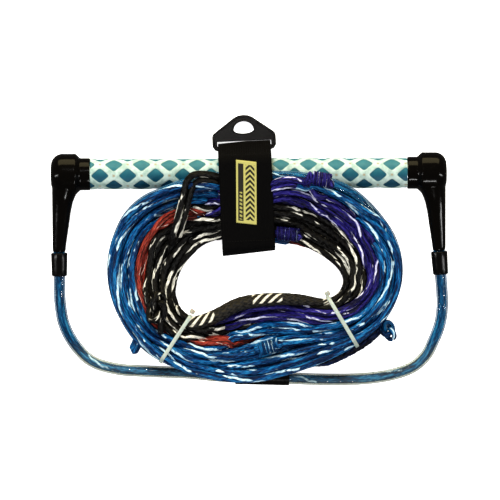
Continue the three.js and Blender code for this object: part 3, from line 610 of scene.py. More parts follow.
def press_apart(x, z):
    """Moves the turns that overlap in a section away from each other."""
    dx = x[:, :, None] - x[:, None, :]
    dz = z[:, :, None] - z[:, None, :]
    gap = np.sqrt(dx * dx + dz * dz) + 1e-9
    push = np.where(gap < LINE_ROPE, (LINE_ROPE - gap) / gap, 0) * PRESSING
    return x + (dx * push).sum(axis=2), z + (dz * push).sum(axis=2)


def press_off(x, z, fixed):
    """Moves the turns off the ropes that don't give."""
    for fixed_x, fixed_z, radius in fixed:
        dx, dz = x - fixed_x[:, None], z - fixed_z[:, None]
        gap = np.sqrt(dx * dx + dz * dz) + 1e-9
        room = LINE_ROPE / 2 + radius
        push = np.where(gap < room, (room - gap) / gap, 0)
        x = x + dx * push
        z = z + dz * push
    return x, z


def relax_coil():
    """Lets the turns press on each other, on the lead and on the bridle until they lie still."""
    rng = np.random.default_rng(JITTER_SEED)
    ropes = [wanted_places(colour, order) for order, colour in enumerate(COLOURS.values())]
    section, x, z = (np.concatenate(values) for values in zip(*ropes))
    ends = np.cumsum([len(rope[0]) for rope in ropes])
    slots = np.argsort(section, kind="stable").reshape(SECTIONS, -1)
    wanted_x = x + rng.normal(0, JITTER, len(x))
    wanted_z = z + rng.normal(0, JITTER, len(z))
    fixed = fixed_ropes()
    for step in range(ROUNDS):
        pull = EARLY_PULL * (1 - step / ROUNDS) + STEADY_PULL
        x += pull * (wanted_x - x)
        z += pull * (wanted_z - z) - SETTLING
        ease_lines(x, ends)
        ease_lines(z, ends)
        for _ in range(2):
            pressed = press_apart(x[slots], z[slots])
            x[slots], z[slots] = press_off(*pressed, fixed)
            x, z = keep_in_bounds(section, x, z, LINE_ROPE / 2)
    paths = {}
    start = 0
    for name, end in zip(COLOURS, ends):
        place = section[start:end]
        flat = CENTRE[place] + x[start:end, None] * OUTWARD[place]
        paths[name] = np.column_stack([flat, z[start:end]])
        start = end
    return paths


COIL_PATHS = relax_coil()


# ---- materials ------------------------------------------------------------------------------

class Nodes:
    """A few short words for building a node tree."""

    def __init__(self, name):
        self.material = bpy.data.materials.new(name)
        self.material.use_nodes = True
        self.tree = self.material.node_tree
        self.shader = self.tree.nodes["Principled BSDF"]

    def node(self, kind, **settings):
        made = self.tree.nodes.new(kind)
        for key, value in settings.items():
            setattr(made, key, value)
        return made

    def link(self, value, socket):
        if isinstance(value, bpy.types.NodeSocket):
            self.tree.links.new(value, socket)
        else:
            socket.default_value = value

    def math(self, operation, a, b=0.0, c=0.0):
        made = self.node("ShaderNodeMath", operation=operation)
        for socket, value in zip(made.inputs, (a, b, c)):
            self.link(value, socket)
        return made.outputs[0]

    def mix(self, share, a, b):
        made = self.node("ShaderNodeMix", data_type="RGBA")
        self.link(share, made.inputs["Factor"])
        self.link(a, made.inputs[6])
        self.link(b, made.inputs[7])
        return made.outputs[2]

    def noise(self, vector, scale, detail=3.0, roughness=0.55):
        made = self.node("ShaderNodeTexNoise")
        self.link(vector, made.inputs["Vector"])
        made.inputs["Scale"].default_value = scale
        made.inputs["Detail"].default_value = detail
        made.inputs["Roughness"].default_value = roughness
        return made.outputs["Fac"]

    def band(self, value, low, high):
        made = self.node("ShaderNodeMapRange", interpolation_type="SMOOTHSTEP")
        self.link(value, made.inputs["Value"])
        made.inputs["From Min"].default_value = low
        made.inputs["From Max"].default_value = high
        return made.outputs["Result"]

    def place(self):
        return self.node("ShaderNodeTexCoord").outputs["Object"]

    def axes(self, vector):
        """The three axes of a vector, by name."""
        split = self.node("ShaderNodeSeparateXYZ")
        self.link(vector, split.inputs[0])
        return split.outputs

    def uv(self):
        """The two directions of the piece's own UV map."""
        split = self.axes(self.node("ShaderNodeUVMap", uv_map="UVMap").outputs["UV"])
        return split["X"], split["Y"]

    def braid_crown(self, around, along):
        """How high a braid's strands stand, by the same rule as the mesh's relief."""
        a = self.math("ADD", around, along)
        b = self.math("SUBTRACT", around, along)
        cells = self.math("ADD", self.math("FLOOR", a), self.math("FLOOR", b))
        under = self.math("GREATER_THAN", self.math("FLOORED_MODULO", cells, 2.0), 0.5)
        strand = self.math("ADD", self.math("MULTIPLY", under, self.math("SUBTRACT", b, a)), a)
        return self.math("SINE", self.math("MULTIPLY", self.math("FRACT", strand), math.pi))

    def bump(self, height, strength, distance):
        made = self.node("ShaderNodeBump")
        made.inputs["Strength"].default_value = strength
        made.inputs["Distance"].default_value = distance
        self.link(height, made.inputs["Height"])
        self.link(made.outputs["Normal"], self.shader.inputs["Normal"])

    def set(self, **values):
        for key, value in values.items():
            self.link(value, self.shader.inputs[key.replace("_", " ")])
        return self.material


def shade(red, green, blue):
    """A colour given as a screen shows it, from 0 to 255."""
    linear = [(v / 255 / 12.92) if v <= 10 else ((v / 255 + 0.055) / 1.055) ** 2.4
              for v in (red, green, blue)]
    return (*linear, 1.0)


def rope_material(name, dark, mid, painted_sheen_and_tracer_colour, fleck, streaks=2, width=0.1, lay=0.1, cell=6.4 * MM,
                  strands=6, relief=0.8):
    """A finely braided rope: fibres along it with painted sheen highlights and painted shadow streaks,
    painted shade between the strands, small diamonds, and pale tracers that wind round.
    """
    n = Nodes(name)
    u, v = n.uv()
    around = n.math("MULTIPLY", u, float(strands))
    along = n.math("DIVIDE", v, cell)
    crown = n.braid_crown(around, along)
    place = n.place()

    def fibres(around_scale, along_scale):
        stretch = n.node("ShaderNodeCombineXYZ")
        n.link(n.math("MULTIPLY", u, around_scale), stretch.inputs["X"])
        n.link(n.math("MULTIPLY", v, along_scale), stretch.inputs["Y"])
        n.link(n.math("MULTIPLY", n.noise(place, 12.0, 1.0), 6.0), stretch.inputs["Z"])
        return n.noise(stretch.outputs[0], 1.0, 3.0, 0.62)

    fine, broad = fibres(30.0, 150.0), fibres(9.0, 34.0)
    # Painted sheen highlights and painted shadow streaks along the fibres: the third colour is the
    # painted sheen, the first the painted shade.
    painted_sheen = n.math("MULTIPLY", n.band(broad, 0.48, 0.6), n.band(fine, 0.4, 0.58))
    painted_shadow_streaks = n.math("MULTIPLY", n.band(broad, 0.52, 0.4), 0.9)
    body = n.mix(painted_shadow_streaks, mid, dark)
    # Painted shade: the rope is darker in the grooves between the strands.
    body = n.mix(n.math("MULTIPLY", n.band(crown, 0.6, 0.1), 0.8), body, dark)
    body = n.mix(n.math("MULTIPLY", painted_sheen, 0.85), body, painted_sheen_and_tracer_colour)
    ripple = n.math("MULTIPLY", n.math("SINE", n.math("MULTIPLY", along, math.pi)), 0.018)
    wander = n.math("MULTIPLY", n.math("SUBTRACT", fibres(0.0, 16.0), 0.5), 0.25)
    phase = n.math("ADD", n.math("SUBTRACT", u, n.math("DIVIDE", v, lay)), n.math("ADD", ripple, wander))
    lane = n.math("FRACT", n.math("MULTIPLY", phase, streaks))
    off = n.math("ABSOLUTE", n.math("SUBTRACT", lane, 0.5))
    half = width * streaks * 0.5
    tracer = n.band(off, half * 1.15, half * 0.8)
    tracer = n.math("MULTIPLY", tracer, n.band(fibres(2.0, 30.0), 0.49, 0.53))
    pale = n.mix(n.band(fine, 0.4, 0.6), fleck, n.mix(0.5, fleck, painted_sheen_and_tracer_colour))
    # Painted shade: the tracers are darker in the grooves between the strands too.
    pale = n.mix(n.math("MULTIPLY", n.band(crown, 0.4, 0.0), 0.35), pale, dark)
    colour = n.mix(tracer, body, pale)
    height = n.math("ADD", crown, n.math("MULTIPLY", fine, 0.6))
    n.bump(height, relief, 0.55 * MM)
    return n.set(Base_Color=colour, Roughness=0.45, Specular_IOR_Level=0.25)


def eye_material():
    """The thick black braid of the eye splice, with threes of pale strands side by side, painted light on
    the strand tops and painted shade between them.
    """
    n = Nodes("rope_eye_black")
    u, v = n.uv()
    around = n.math("MULTIPLY", u, 10.0)
    along = n.math("DIVIDE", v, 7.5 * MM)
    crown = n.braid_crown(around, along)
    group = n.math("FLOORED_MODULO", n.math("DIVIDE", v, 66 * MM), 1.0)
    slant = n.math("ADD", n.math("DIVIDE", v, 8.6 * MM), n.math("MULTIPLY", u, 5.0))
    slash = n.math("FRACT", slant)
    shown = n.math("MULTIPLY", n.band(slash, 0.62, 0.54), n.band(slash, 0.14, 0.22))
    inside = n.math("MULTIPLY", n.band(group, 0.18, 0.2), n.band(group, 0.62, 0.6))
    face = n.math("ABSOLUTE", n.math("SUBTRACT", u, 0.74))
    shown = n.math("MULTIPLY", n.math("MULTIPLY", shown, inside), n.band(face, 0.17, 0.13))
    fuzz = n.noise(n.place(), 900.0, 3.0)
    # Painted light and shade: the strand tops are lighter brown-grey, broken by random fuzz, and the
    # grooves are near black.
    body = n.mix(n.math("MULTIPLY", crown, fuzz), shade(3, 3, 3), shade(52, 46, 36))
    colour = n.mix(shown, body, n.mix(fuzz, shade(190, 182, 156), CREAM))
    n.bump(n.math("ADD", crown, n.math("MULTIPLY", fuzz, 0.4)), 0.7, 0.9 * MM)
    return n.set(Base_Color=colour, Roughness=0.5, Specular_IOR_Level=0.4)


def gloss_material(name, colour, roughness):
    """Moulded glossy plastic with faint waves, scuffs and a clear skin."""
    n = Nodes(name)
    place = n.place()
    wave = n.noise(place, 60.0, 2.0)
    grime = n.noise(place, 420.0, 4.0)
    rough = n.math("ADD", roughness, n.math("MULTIPLY", n.band(grime, 0.55, 0.8), 0.12))
    n.bump(wave, 0.06, 1.0 * MM)
    tint = n.mix(n.math("MULTIPLY", grime, 0.3), colour, shade(22, 18, 15))
    return n.set(Base_Color=tint, Roughness=rough, IOR=1.25)


def grip_material():
    """Pale net over teal diamonds, read from the net attribute and the crossing attribute; the teal is
    painted lighter towards +Y, and a painted shade line runs where the net meets each diamond.
    """
    n = Nodes("grip_net_rubber")
    net = n.node("ShaderNodeAttribute", attribute_name="net").outputs["Fac"]
    cross = n.node("ShaderNodeAttribute", attribute_name="cross").outputs["Fac"]
    place = n.place()
    mottle = n.noise(place, 150.0, 3.0)
    grain = n.noise(place, 1400.0, 3.0)
    # Painted light: the teal is lighter towards +Y and darker towards -Y.
    painted_light_side = n.band(n.axes(place)["Y"], -9 * MM, 11 * MM)
    teal = n.mix(mottle, n.mix(painted_light_side, shade(0, 50, 72), shade(26, 88, 100)),
                 n.mix(painted_light_side, shade(4, 80, 100), shade(54, 118, 124)))
    pale = n.mix(n.band(mottle, 0.3, 0.75), shade(180, 198, 190), shade(134, 158, 150))
    pale = n.mix(n.band(cross, 0.1, 0.8), pale, shade(150, 140, 116))
    edge = n.band(net, 0.25, 0.5)
    colour = n.mix(edge, teal, pale)
    # Painted shade: a darker line along the step where the raised net meets each diamond.
    rim = n.math("MULTIPLY", n.band(net, 0.15, 0.4), n.math("SUBTRACT", 1.0, n.band(net, 0.5, 0.85)))
    colour = n.mix(n.math("MULTIPLY", rim, 0.7), colour, shade(70, 92, 92))
    n.bump(n.math("ADD", grain, n.math("MULTIPLY", mottle, 0.5)), 0.12, 0.4 * MM)
    return n.set(Base_Color=colour, Roughness=0.5, Specular_IOR_Level=0.4)


def sheath_material():
    """Clear tubing: its wall is painted with the rope's blue, which stands in for the rope seen through
    it, and is pale where the rope lies off it.
    """
    n = Nodes("clear_tubing")
    facing = n.node("ShaderNodeLayerWeight")
    facing.inputs["Blend"].default_value = 0.5
    haze = n.noise(n.place(), 90.0, 2.0)
    slack = n.band(n.axes(n.place())["Y"], -152 * MM, -178 * MM)
    edge = n.band(facing.outputs["Facing"], 0.28, 0.62)
    alpha = n.math("ADD", 0.05, n.math("MULTIPLY", edge, 0.8))
    # Painted refraction: the rope's blue, seen through the clear wall, is put on the wall itself.
    painted_rope_blue = n.mix(haze, shade(6, 64, 104), shade(24, 96, 134))
    tint = n.mix(slack, painted_rope_blue, n.mix(haze, shade(168, 174, 150), shade(130, 142, 124)))
    return n.set(Base_Color=tint, Roughness=0.08, Alpha=alpha, Coat_Weight=1.0,
                 Coat_Roughness=0.03)


def webbing_material(name, colour, pitch):
    """Ribbed narrow webbing, woven along UV, with painted shade in the weave's valleys."""
    n = Nodes(name)
    u, v = n.uv()
    across = n.math("MULTIPLY", u, math.pi / pitch)
    along = n.math("MULTIPLY", v, math.pi / pitch)
    rib = n.math("ABSOLUTE", n.math("SINE", across))
    step = n.math("FLOORED_MODULO", n.math("FLOOR", n.math("DIVIDE", u, pitch)), 2.0)
    pick = n.math("ABSOLUTE", n.math("SINE", n.math("ADD", along, n.math("MULTIPLY", step, math.pi / 2))))
    fuzz = n.noise(n.place(), 1500.0, 4.0)
    weave = n.math("MULTIPLY", n.math("ADD", rib, 0.3), n.math("ADD", pick, 0.4))
    # Painted shade: the weave's valleys are darker than its crowns, with random fuzz.
    tone = n.math("ADD", n.math("MULTIPLY", weave, 0.45), n.math("MULTIPLY", fuzz, 0.35))
    colour = n.mix(tone, shade(4, 4, 5), colour)
    n.bump(n.math("ADD", weave, n.math("MULTIPLY", fuzz, 0.3)), 0.5, 0.4 * MM)
    return n.set(Base_Color=colour, Roughness=0.85, Specular_IOR_Level=0.12)


def tie_material():
    """Natural nylon, slightly see-through."""
    n = Nodes("natural_nylon")
    haze = n.noise(n.place(), 300.0, 3.0)
    tint = n.mix(haze, shade(188, 190, 180), shade(158, 160, 148))
    n.bump(haze, 0.1, 0.3 * MM)
    return n.set(Base_Color=tint, Roughness=0.3, Subsurface_Weight=0.2, Coat_Weight=0.2)


def label_material():
    """A woven label: a yellow ground, a dark field with ticks, and a column of chevrons."""
    n = Nodes("woven_label")
    x, y = n.uv()

    def inside(value, low, high):
        return n.math("MULTIPLY", n.math("GREATER_THAN", value, low), n.math("LESS_THAN", value, high))

    def box(x0, x1, y0, y1):
        return n.math("MULTIPLY", inside(x, x0, x1), inside(y, y0, y1))

    thread = n.math("ABSOLUTE", n.math("SINE", n.math("MULTIPLY", y, 260.0)))
    yellow = n.mix(n.math("MULTIPLY", thread, 0.5), shade(182, 176, 104), shade(152, 146, 78))
    dark = shade(26, 22, 10)
    colour = n.mix(box(0.1, 0.36, 0.04, 0.95), yellow, dark)
    thin = n.math("FRACT", n.math("ADD", n.math("MULTIPLY", y, 16.0), n.math("MULTIPLY", x, 1.5)))
    colour = n.mix(n.math("MULTIPLY", box(0.17, 0.3, 0.06, 0.5), n.math("LESS_THAN", thin, 0.55)),
                   colour, shade(158, 152, 84))
    bend = n.math("ABSOLUTE", n.math("SUBTRACT", x, 0.68))
    bar = n.math("FRACT", n.math("ADD", n.math("MULTIPLY", y, 12.0), n.math("MULTIPLY", bend, 4.0)))
    bars = n.math("MULTIPLY", n.math("LESS_THAN", bar, 0.55), box(0.46, 0.9, 0.06, 0.94))
    colour = n.mix(bars, colour, dark)
    n.bump(thread, 0.3, 0.2 * MM)
    return n.set(Base_Color=colour, Roughness=0.6)


def stage_material():
    """A pale matt floor that shines a little by itself."""
    n = Nodes("pale_floor")
    tone = n.noise(n.place(), 3.0, 1.0)
    return n.set(Base_Color=n.mix(tone, (0.93, 0.93, 0.93, 1), (0.95, 0.95, 0.95, 1)),
                 Roughness=0.9, Specular_IOR_Level=0.1, Emission_Color=(1, 1, 1, 1),
                 Emission_Strength=0.75)


def metal_material():
    """Aluminium with fine lines along the bar."""
    n = Nodes("drawn_aluminium")
    stretch = n.node("ShaderNodeMapping")
    stretch.inputs["Scale"].default_value = (4, 400, 400)
    n.link(n.place(), stretch.inputs["Vector"])
    lines = n.noise(stretch.outputs[0], 3.0, 4.0)
    n.bump(lines, 0.1, 0.2 * MM)
    tint = n.mix(lines, (0.7, 0.71, 0.73, 1), (0.85, 0.86, 0.88, 1))
    return n.set(Base_Color=tint, Roughness=0.35, Metallic=1.0)


def foam_material():
    """White foam with small closed cells."""
    n = Nodes("closed_cell_foam")
    cells = n.node("ShaderNodeTexVoronoi")
    n.link(n.place(), cells.inputs["Vector"])
    cells.inputs["Scale"].default_value = 900.0
    n.bump(cells.outputs["Distance"], 0.3, 0.4 * MM)
    tint = n.mix(cells.outputs["Distance"], shade(236, 232, 220), shade(214, 208, 192))
    return n.set(Base_Color=tint, Roughness=0.9)


CREAM = shade(246, 243, 228)
WHITE = shade(214, 240, 246)
# Each rope's first colour is its painted shade, and its third is its painted sheen, which also tints its
# tracers.
BLUE = rope_material("rope_blue", shade(0, 15, 46), shade(0, 65, 118), shade(34, 130, 182), WHITE,
                     width=0.12)
PURPLE = rope_material("rope_purple", shade(5, 4, 28), shade(30, 24, 94), shade(60, 52, 146),
                       shade(226, 226, 244), width=0.1)
RED = rope_material("rope_red", shade(22, 5, 4), shade(128, 42, 32), shade(180, 80, 62), CREAM,
                    width=0.02)
BLACK = rope_material("rope_black", shade(1, 1, 1), shade(7, 6, 5), shade(22, 19, 15), CREAM,
                      width=0.15)
BRIDLE_BLUE = rope_material("rope_bridle", shade(0, 30, 60), shade(0, 82, 126),
                            shade(60, 142, 178), WHITE, streaks=1, width=0.08)
LOOP_BLACK = rope_material("rope_loop_black", shade(1, 1, 1), shade(7, 6, 5), shade(20, 18, 14),
                           CREAM, width=0.22)
NAVY = rope_material("rope_navy", shade(0, 4, 18), shade(4, 16, 52), shade(18, 50, 100), WHITE,
                     width=0.02)
EYE_BLACK = eye_material()
PURPLE_DARK = rope_material("rope_purple_dark", shade(4, 4, 24), shade(24, 20, 84),
                            shade(60, 54, 140), WHITE, width=0.02)
CAP_BLACK = gloss_material("cap_gloss_black", shade(5, 4, 3), 0.13)
KEEPER_BLACK = gloss_material("keeper_gloss_black", shade(8, 8, 8), 0.2)
TAB_BLACK = gloss_material("tab_satin_black", shade(5, 4, 4), 0.3)
GRIP = grip_material()
CLEAR = sheath_material()
WEBBING = webbing_material("strap_webbing", shade(9, 8, 8), 1.1 * MM)
THREAD = gloss_material("black_thread", shade(14, 13, 12), 0.6)
NYLON = tie_material()
LABEL = label_material()


def finish_piece(obj, material, body, slot, *nodes):
    """Gives a piece its material and its body, and hides the CAD nodes that it stands for; the slot is
    not used.
    """
    obj.data.materials.clear()
    obj.data.materials.append(material)
    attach(obj, body)
    if nodes:
        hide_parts(*nodes)


# ---- ropes of the coil and the bridle -------------------------------------------------------

def build_line(colour, material, node):
    """One colour's line, all its turns in one rope."""
    path = smooth_path(COIL_PATHS[colour], 2.4 * MM, 6)
    rope = rope_mesh(f"line_{colour}", path, LINE_ROPE)
    finish_piece(rope, material, "handle", f"rope_{colour}", node)
    return rope, path


def build_coil():
    """The four lines of the coil."""
    colours = {"blue": BLUE, "purple": PURPLE, "red": RED, "black": BLACK}
    for colour, material in colours.items():
        build_line(colour, material, f"coil_{colour}")


def build_bridle():
    """The two legs, each a rope in clear tubing."""
    for name, path in LEG_PATHS.items():
        rope = rope_mesh(f"{name}_leg_rope", path, BRIDLE_ROPE)
        finish_piece(rope, BRIDLE_BLUE, "handle", "rope_blue", f"{name}_bridle_rope")
        sheath = tube_wall(f"{name}_leg_sheath", path, SHEATH, SHEATH_BORE)
        finish_piece(sheath, CLEAR, "handle", "clear_sheath", f"{name}_bridle_sheath")


def build_lead():
    """The lead from the junction round the rim, a rope in clear tubing."""
    rope = rope_mesh("lead_line", LEAD_PATH, BRIDLE_ROPE)
    finish_piece(rope, BRIDLE_BLUE, "handle", "rope_blue", "lead_rope")
    sheath = tube_wall("lead_tubing", LEAD_PATH, SHEATH, SHEATH_BORE)
    finish_piece(sheath, CLEAR, "handle", "clear_sheath", "lead_sheath")


# ---- grip and caps --------------------------------------------------------------------------

DIAMOND_PITCH = 26.2 * MM
DIAMOND_START = -140.2 * MM
DIAMOND_TURN = math.radians(8)
DIAMOND_SHARE = 0.345


def net_pattern(x, angle):
    """The net's height (0 in a diamond, 1 on a band) and how near a crossing each place is."""
    p = (x - DIAMOND_START) / DIAMOND_PITCH
    q = (angle - math.pi / 2 - DIAMOND_TURN) / (TURN / 4)
    a, b = p + q, p - q
    da, db = np.abs(a - np.round(a)), np.abs(b - np.round(b))
    bulge = (da ** 6 + db ** 6) ** (1 / 6)
    net = np.clip((bulge - DIAMOND_SHARE + 0.03) / 0.05, 0, 1)
    cross = np.clip(1 - (np.abs(da - 0.5) + np.abs(db - 0.5)) / 0.16, 0, 1)
    return net * net * (3 - 2 * net), cross


def build_grip():
    """The moulded grip: a round sleeve whose net stands out over the diamonds."""
    rows, sides = 500, 112
    x = np.linspace(-GRIP_HALF, GRIP_HALF, rows)
    angle = TURN * np.arange(sides) / sides
    net, cross = net_pattern(x[:, None], angle[None, :])
    from_end = np.minimum(x + GRIP_HALF, GRIP_HALF - x)[:, None]
    edge = np.clip(from_end / (0.6 * MM), 0, 1)
    radius = GRIP_RADIUS - 0.55 * MM * (1 - net) - 0.4 * MM * (1 - edge) ** 2
    skin = np.stack([np.broadcast_to(x[:, None], radius.shape), radius * np.cos(angle),
                     AXIS_HEIGHT + radius * np.sin(angle)], axis=-1)
    bore = 11.4 * MM
    inner = np.stack([np.broadcast_to(np.array([GRIP_HALF, -GRIP_HALF])[:, None], (2, sides)),
                      np.broadcast_to(bore * np.cos(angle), (2, sides)),
                      np.broadcast_to(AXIS_HEIGHT + bore * np.sin(angle), (2, sides))], axis=-1)
    points = np.concatenate([skin, inner], axis=0).reshape(-1, 3)
    quads = grid_quads(rows + 2, sides, closed_rows=True, closed_columns=True)
    grip = mesh_object("grip_net", points, quads)
    recalculate(grip)
    blank = np.ones(2 * sides)
    for key, values in (("net", net), ("cross", cross)):
        layer = grip.data.attributes.new(key, "FLOAT", "POINT")
        layer.data.foreach_set("value", np.concatenate([values.ravel(), blank * (key == "net")]))
    finish_piece(grip, GRIP, "handle", "grip_rubber", "grip_sleeve")


def turned_points(profile, sides):
    """Rings of points round +X from [distance, radius] pairs."""
    angle = TURN * np.arange(sides) / sides
    x = np.broadcast_to(profile[:, :1], (len(profile), sides))
    y = profile[:, 1:] * np.cos(angle)
    z = profile[:, 1:] * np.sin(angle)
    return np.stack([x, y, z], axis=-1).reshape(-1, 3)


def revolve(name, profile, sides=64):
    """A turned solid along +X from [distance, radius] pairs, closed at both ends."""
    profile = np.asarray(profile)
    points = turned_points(profile, sides)
    quads = grid_quads(len(profile), sides, closed_columns=True)
    obj = mesh_object(name, points, quads, end_caps(len(profile), sides))
    recalculate(obj)
    return obj


def cap_head():
    """The cap's head along +X, a collar and a rounded barrel, slightly wider than high."""
    corner = 11 * MM
    profile = [[0, 0.5 * MM], [0, COLLAR_RADIUS], [COLLAR_LENGTH + 0.4 * MM, COLLAR_RADIUS]]
    full = HEAD_RADIUS + HEAD_SWELL
    profile.append([COLLAR_LENGTH + 4.6 * MM, full])
    for angle in np.linspace(0, math.pi / 2, 14):
        profile.append([CAP_LENGTH - corner + corner * math.sin(angle),
                        full - corner + corner * math.cos(angle)])
    profile.append([CAP_LENGTH, 0.5 * MM])
    head = revolve("cap_head", profile)
    head.data.transform(Matrix.Scale(HEAD_RADIUS / full, 4, (0, 0, 1)))
    return head


def cap_arm():
    """The tapering arm, as rings from the bar's axis to the rounded tip."""
    stations = np.array([  # reach, width across X, depth across Z, all in millimetres
        [0, 25, 28], [8, 25.4, 28], [14, 24.6, 26.5], [18.5, 23.2, 24], [23, 21, 21.5],
        [28, 19.3, 19.6], [36, 17.6, 17.8], [48, 15.9, 16], [60, 14, 14], [68, 12.8, 12.8],
        [71.4, 12.4, 12.4], [73.2, 11.6, 11.6], [74.1, 10, 10]]) * MM
    sides = 56
    angle = TURN * np.arange(sides) / sides
    outer_side = CAP_LENGTH - 0.8 * MM
    tip_middle = outer_side - 6.3 * MM
    middle = np.where(stations[:, 0] > 69 * MM, tip_middle, outer_side - stations[:, 1] / 2)
    x = middle[:, None] + stations[:, 1:2] / 2 * np.cos(angle)
    z = stations[:, 2:3] / 2 * np.sin(angle)
    y = np.broadcast_to(-stations[:, :1], x.shape)
    points = np.stack([x, y, z], axis=-1).reshape(-1, 3)
    quads = grid_quads(len(stations), sides, closed_columns=True)
    arm = mesh_object("cap_arm", points, quads, end_caps(len(stations), sides))
    recalculate(arm)
    return arm


def apply_modifiers(obj, name):
    """A plain mesh object from another one with its modifiers, which is removed."""
    graph = bpy.context.evaluated_depsgraph_get()
    mesh = bpy.data.meshes.new_from_object(obj.evaluated_get(graph))
    mesh.name = name
    made = add_object(name, mesh)
    bpy.data.objects.remove(obj, do_unlink=True)
    return made


def join_meshes(parts):
    """One object that holds the meshes of several, which are removed."""
    work = bmesh.new()
    for item in parts:
        work.from_mesh(item.data)
    mesh = bpy.data.meshes.new("joined")
    work.to_mesh(mesh)
    work.free()
    for item in parts:
        bpy.data.objects.remove(item, do_unlink=True)
    return add_object("joined", mesh)


def build_caps():
    """One moulded elbow, its head and arm grown together with a smooth fillet, for each end."""
    rough = join_meshes([cap_head(), cap_arm()])
    grow = rough.modifiers.new("grow", "REMESH")
    grow.mode = "VOXEL"
    grow.voxel_size = 0.62 * MM
    ease = rough.modifiers.new("ease", "SMOOTH")
    ease.factor = 0.5
    ease.iterations = 6
    cap = apply_modifiers(rough, "elbow_cap")
    for name, side in (("left", -1), ("right", 1)):
        copy = add_object(f"{name}_cap_shell", cap.data.copy())
        turn = Matrix.Rotation(math.pi, 4, "Y") if side < 0 else Matrix.Identity(4)
        droop = Matrix.Rotation(ARM_DROOP, 4, "X")
        shift = Matrix.Translation((side * (GRIP_HALF + 0.3 * MM), 0, 0))
        rise = Matrix.Translation((0, 0, AXIS_HEIGHT))
        copy.data.transform(rise @ droop @ shift @ turn)
        copy.data.polygons.foreach_set("use_smooth", [True] * len(copy.data.polygons))
        finish_piece(copy, CAP_BLACK, "handle", "cap_plastic", f"{name}_end_cap")
    bpy.data.objects.remove(cap, do_unlink=True)


def build_keepers():
    """Shrunk rubber sleeves, slightly narrower at the far end, with rolled edges."""
    length, top, bottom, bore = 22 * MM, 7.8 * MM, 7.2 * MM, 5.85 * MM
    edge = 1.2 * MM
    profile = [[0, bore]]
    for angle in np.linspace(0, math.pi / 2, 5):
        profile.append([edge - edge * math.cos(angle), top - edge + edge * math.sin(angle)])
    for share in (0.25, 0.5, 0.75):
        profile.append([edge + (length - 2 * edge) * share, top + (bottom - top) * share])
    for angle in np.linspace(0, math.pi / 2, 5):
        profile.append([length - edge + edge * math.sin(angle), bottom - edge + edge * math.cos(angle)])
    profile.append([length, bore])
    profile = np.array(profile)
    sides = 48
    points = turned_points(profile, sides)
    quads = grid_quads(len(profile), sides, closed_rows=True, closed_columns=True)
    for name, side in (("left", -1), ("right", 1)):
        keeper = mesh_object(f"{name}_keeper", points, quads)
        recalculate(keeper)
        along = Vector(leg_direction(side))
        turn = along.to_track_quat("X", "Z").to_matrix().to_4x4()
        start = Vector(arm_tip(side)) + along * 1.6 * MM
        keeper.data.transform(Matrix.Translation(start) @ turn)
        finish_piece(keeper, KEEPER_BLACK, f"{name}_keeper", "keeper_rubber",
                     f"{name}_keeper_sleeve")


# ---- strap ----------------------------------------------------------------------------------

def strap_corners():
    """The strap's path in its own YZ plane as corners [y, z, radius]."""
    half = STRAP_THICKNESS / 2
    leg = math.radians(72)
    loop = 4.25 * MM
    foot = TAB_PIVOT + loop / math.tan(leg / 2)
    top = foot - (STRAP_TOP_OUTER[1] - half) / math.tan(leg)
    outer_end = -37 * MM
    upper = STRAP_THICKNESS * 1.5 + 2.7 * MM
    return [[outer_end, half, 0], [foot, half, loop], [top, STRAP_TOP_OUTER[1], 7 * MM],
            [STRAP_TOP_INNER[0], STRAP_TOP_INNER[1], 8 * MM], [-75.5 * MM, half, 4 * MM],
            [outer_end - 8 * MM, half, 4 * MM], [outer_end - 1.6 * MM, upper, 4 * MM],
            [-14 * MM, upper, 0]]


def rounded_path(corners):
    """The path through the corners in the YZ plane, with an arc at each of them."""
    points = [np.array(corners[0][:2])]
    for before, here, after in zip(corners, corners[1:], corners[2:]):
        corner = np.array(here[:2])
        back = np.array(before[:2]) - corner
        ahead = np.array(after[:2]) - corner
        back /= np.linalg.norm(back)
        ahead /= np.linalg.norm(ahead)
        half = math.acos(np.clip(back.dot(ahead), -1, 1)) / 2
        radius = here[2]
        toward = (back + ahead) / np.linalg.norm(back + ahead)
        centre = corner + toward * radius / math.sin(half)
        cut = radius / math.tan(half)
        start = corner + back * cut - centre
        end = corner + ahead * cut - centre
        first = math.atan2(start[1], start[0])
        sweep = (math.atan2(end[1], end[0]) - first + math.pi) % TURN - math.pi
        for share in np.linspace(0, 1, 12):
            angle = first + sweep * share
            points.append(centre + radius * np.array([math.cos(angle), math.sin(angle)]))
    points.append(np.array(corners[-1][:2]))
    flat = np.array(points)
    return np.column_stack([np.zeros(len(flat)), flat])


STRAP_PLACE = Matrix.Translation((STRAP_CENTRE, 0, 0)) @ Matrix.Rotation(STRAP_LEAN, 4, "Z")


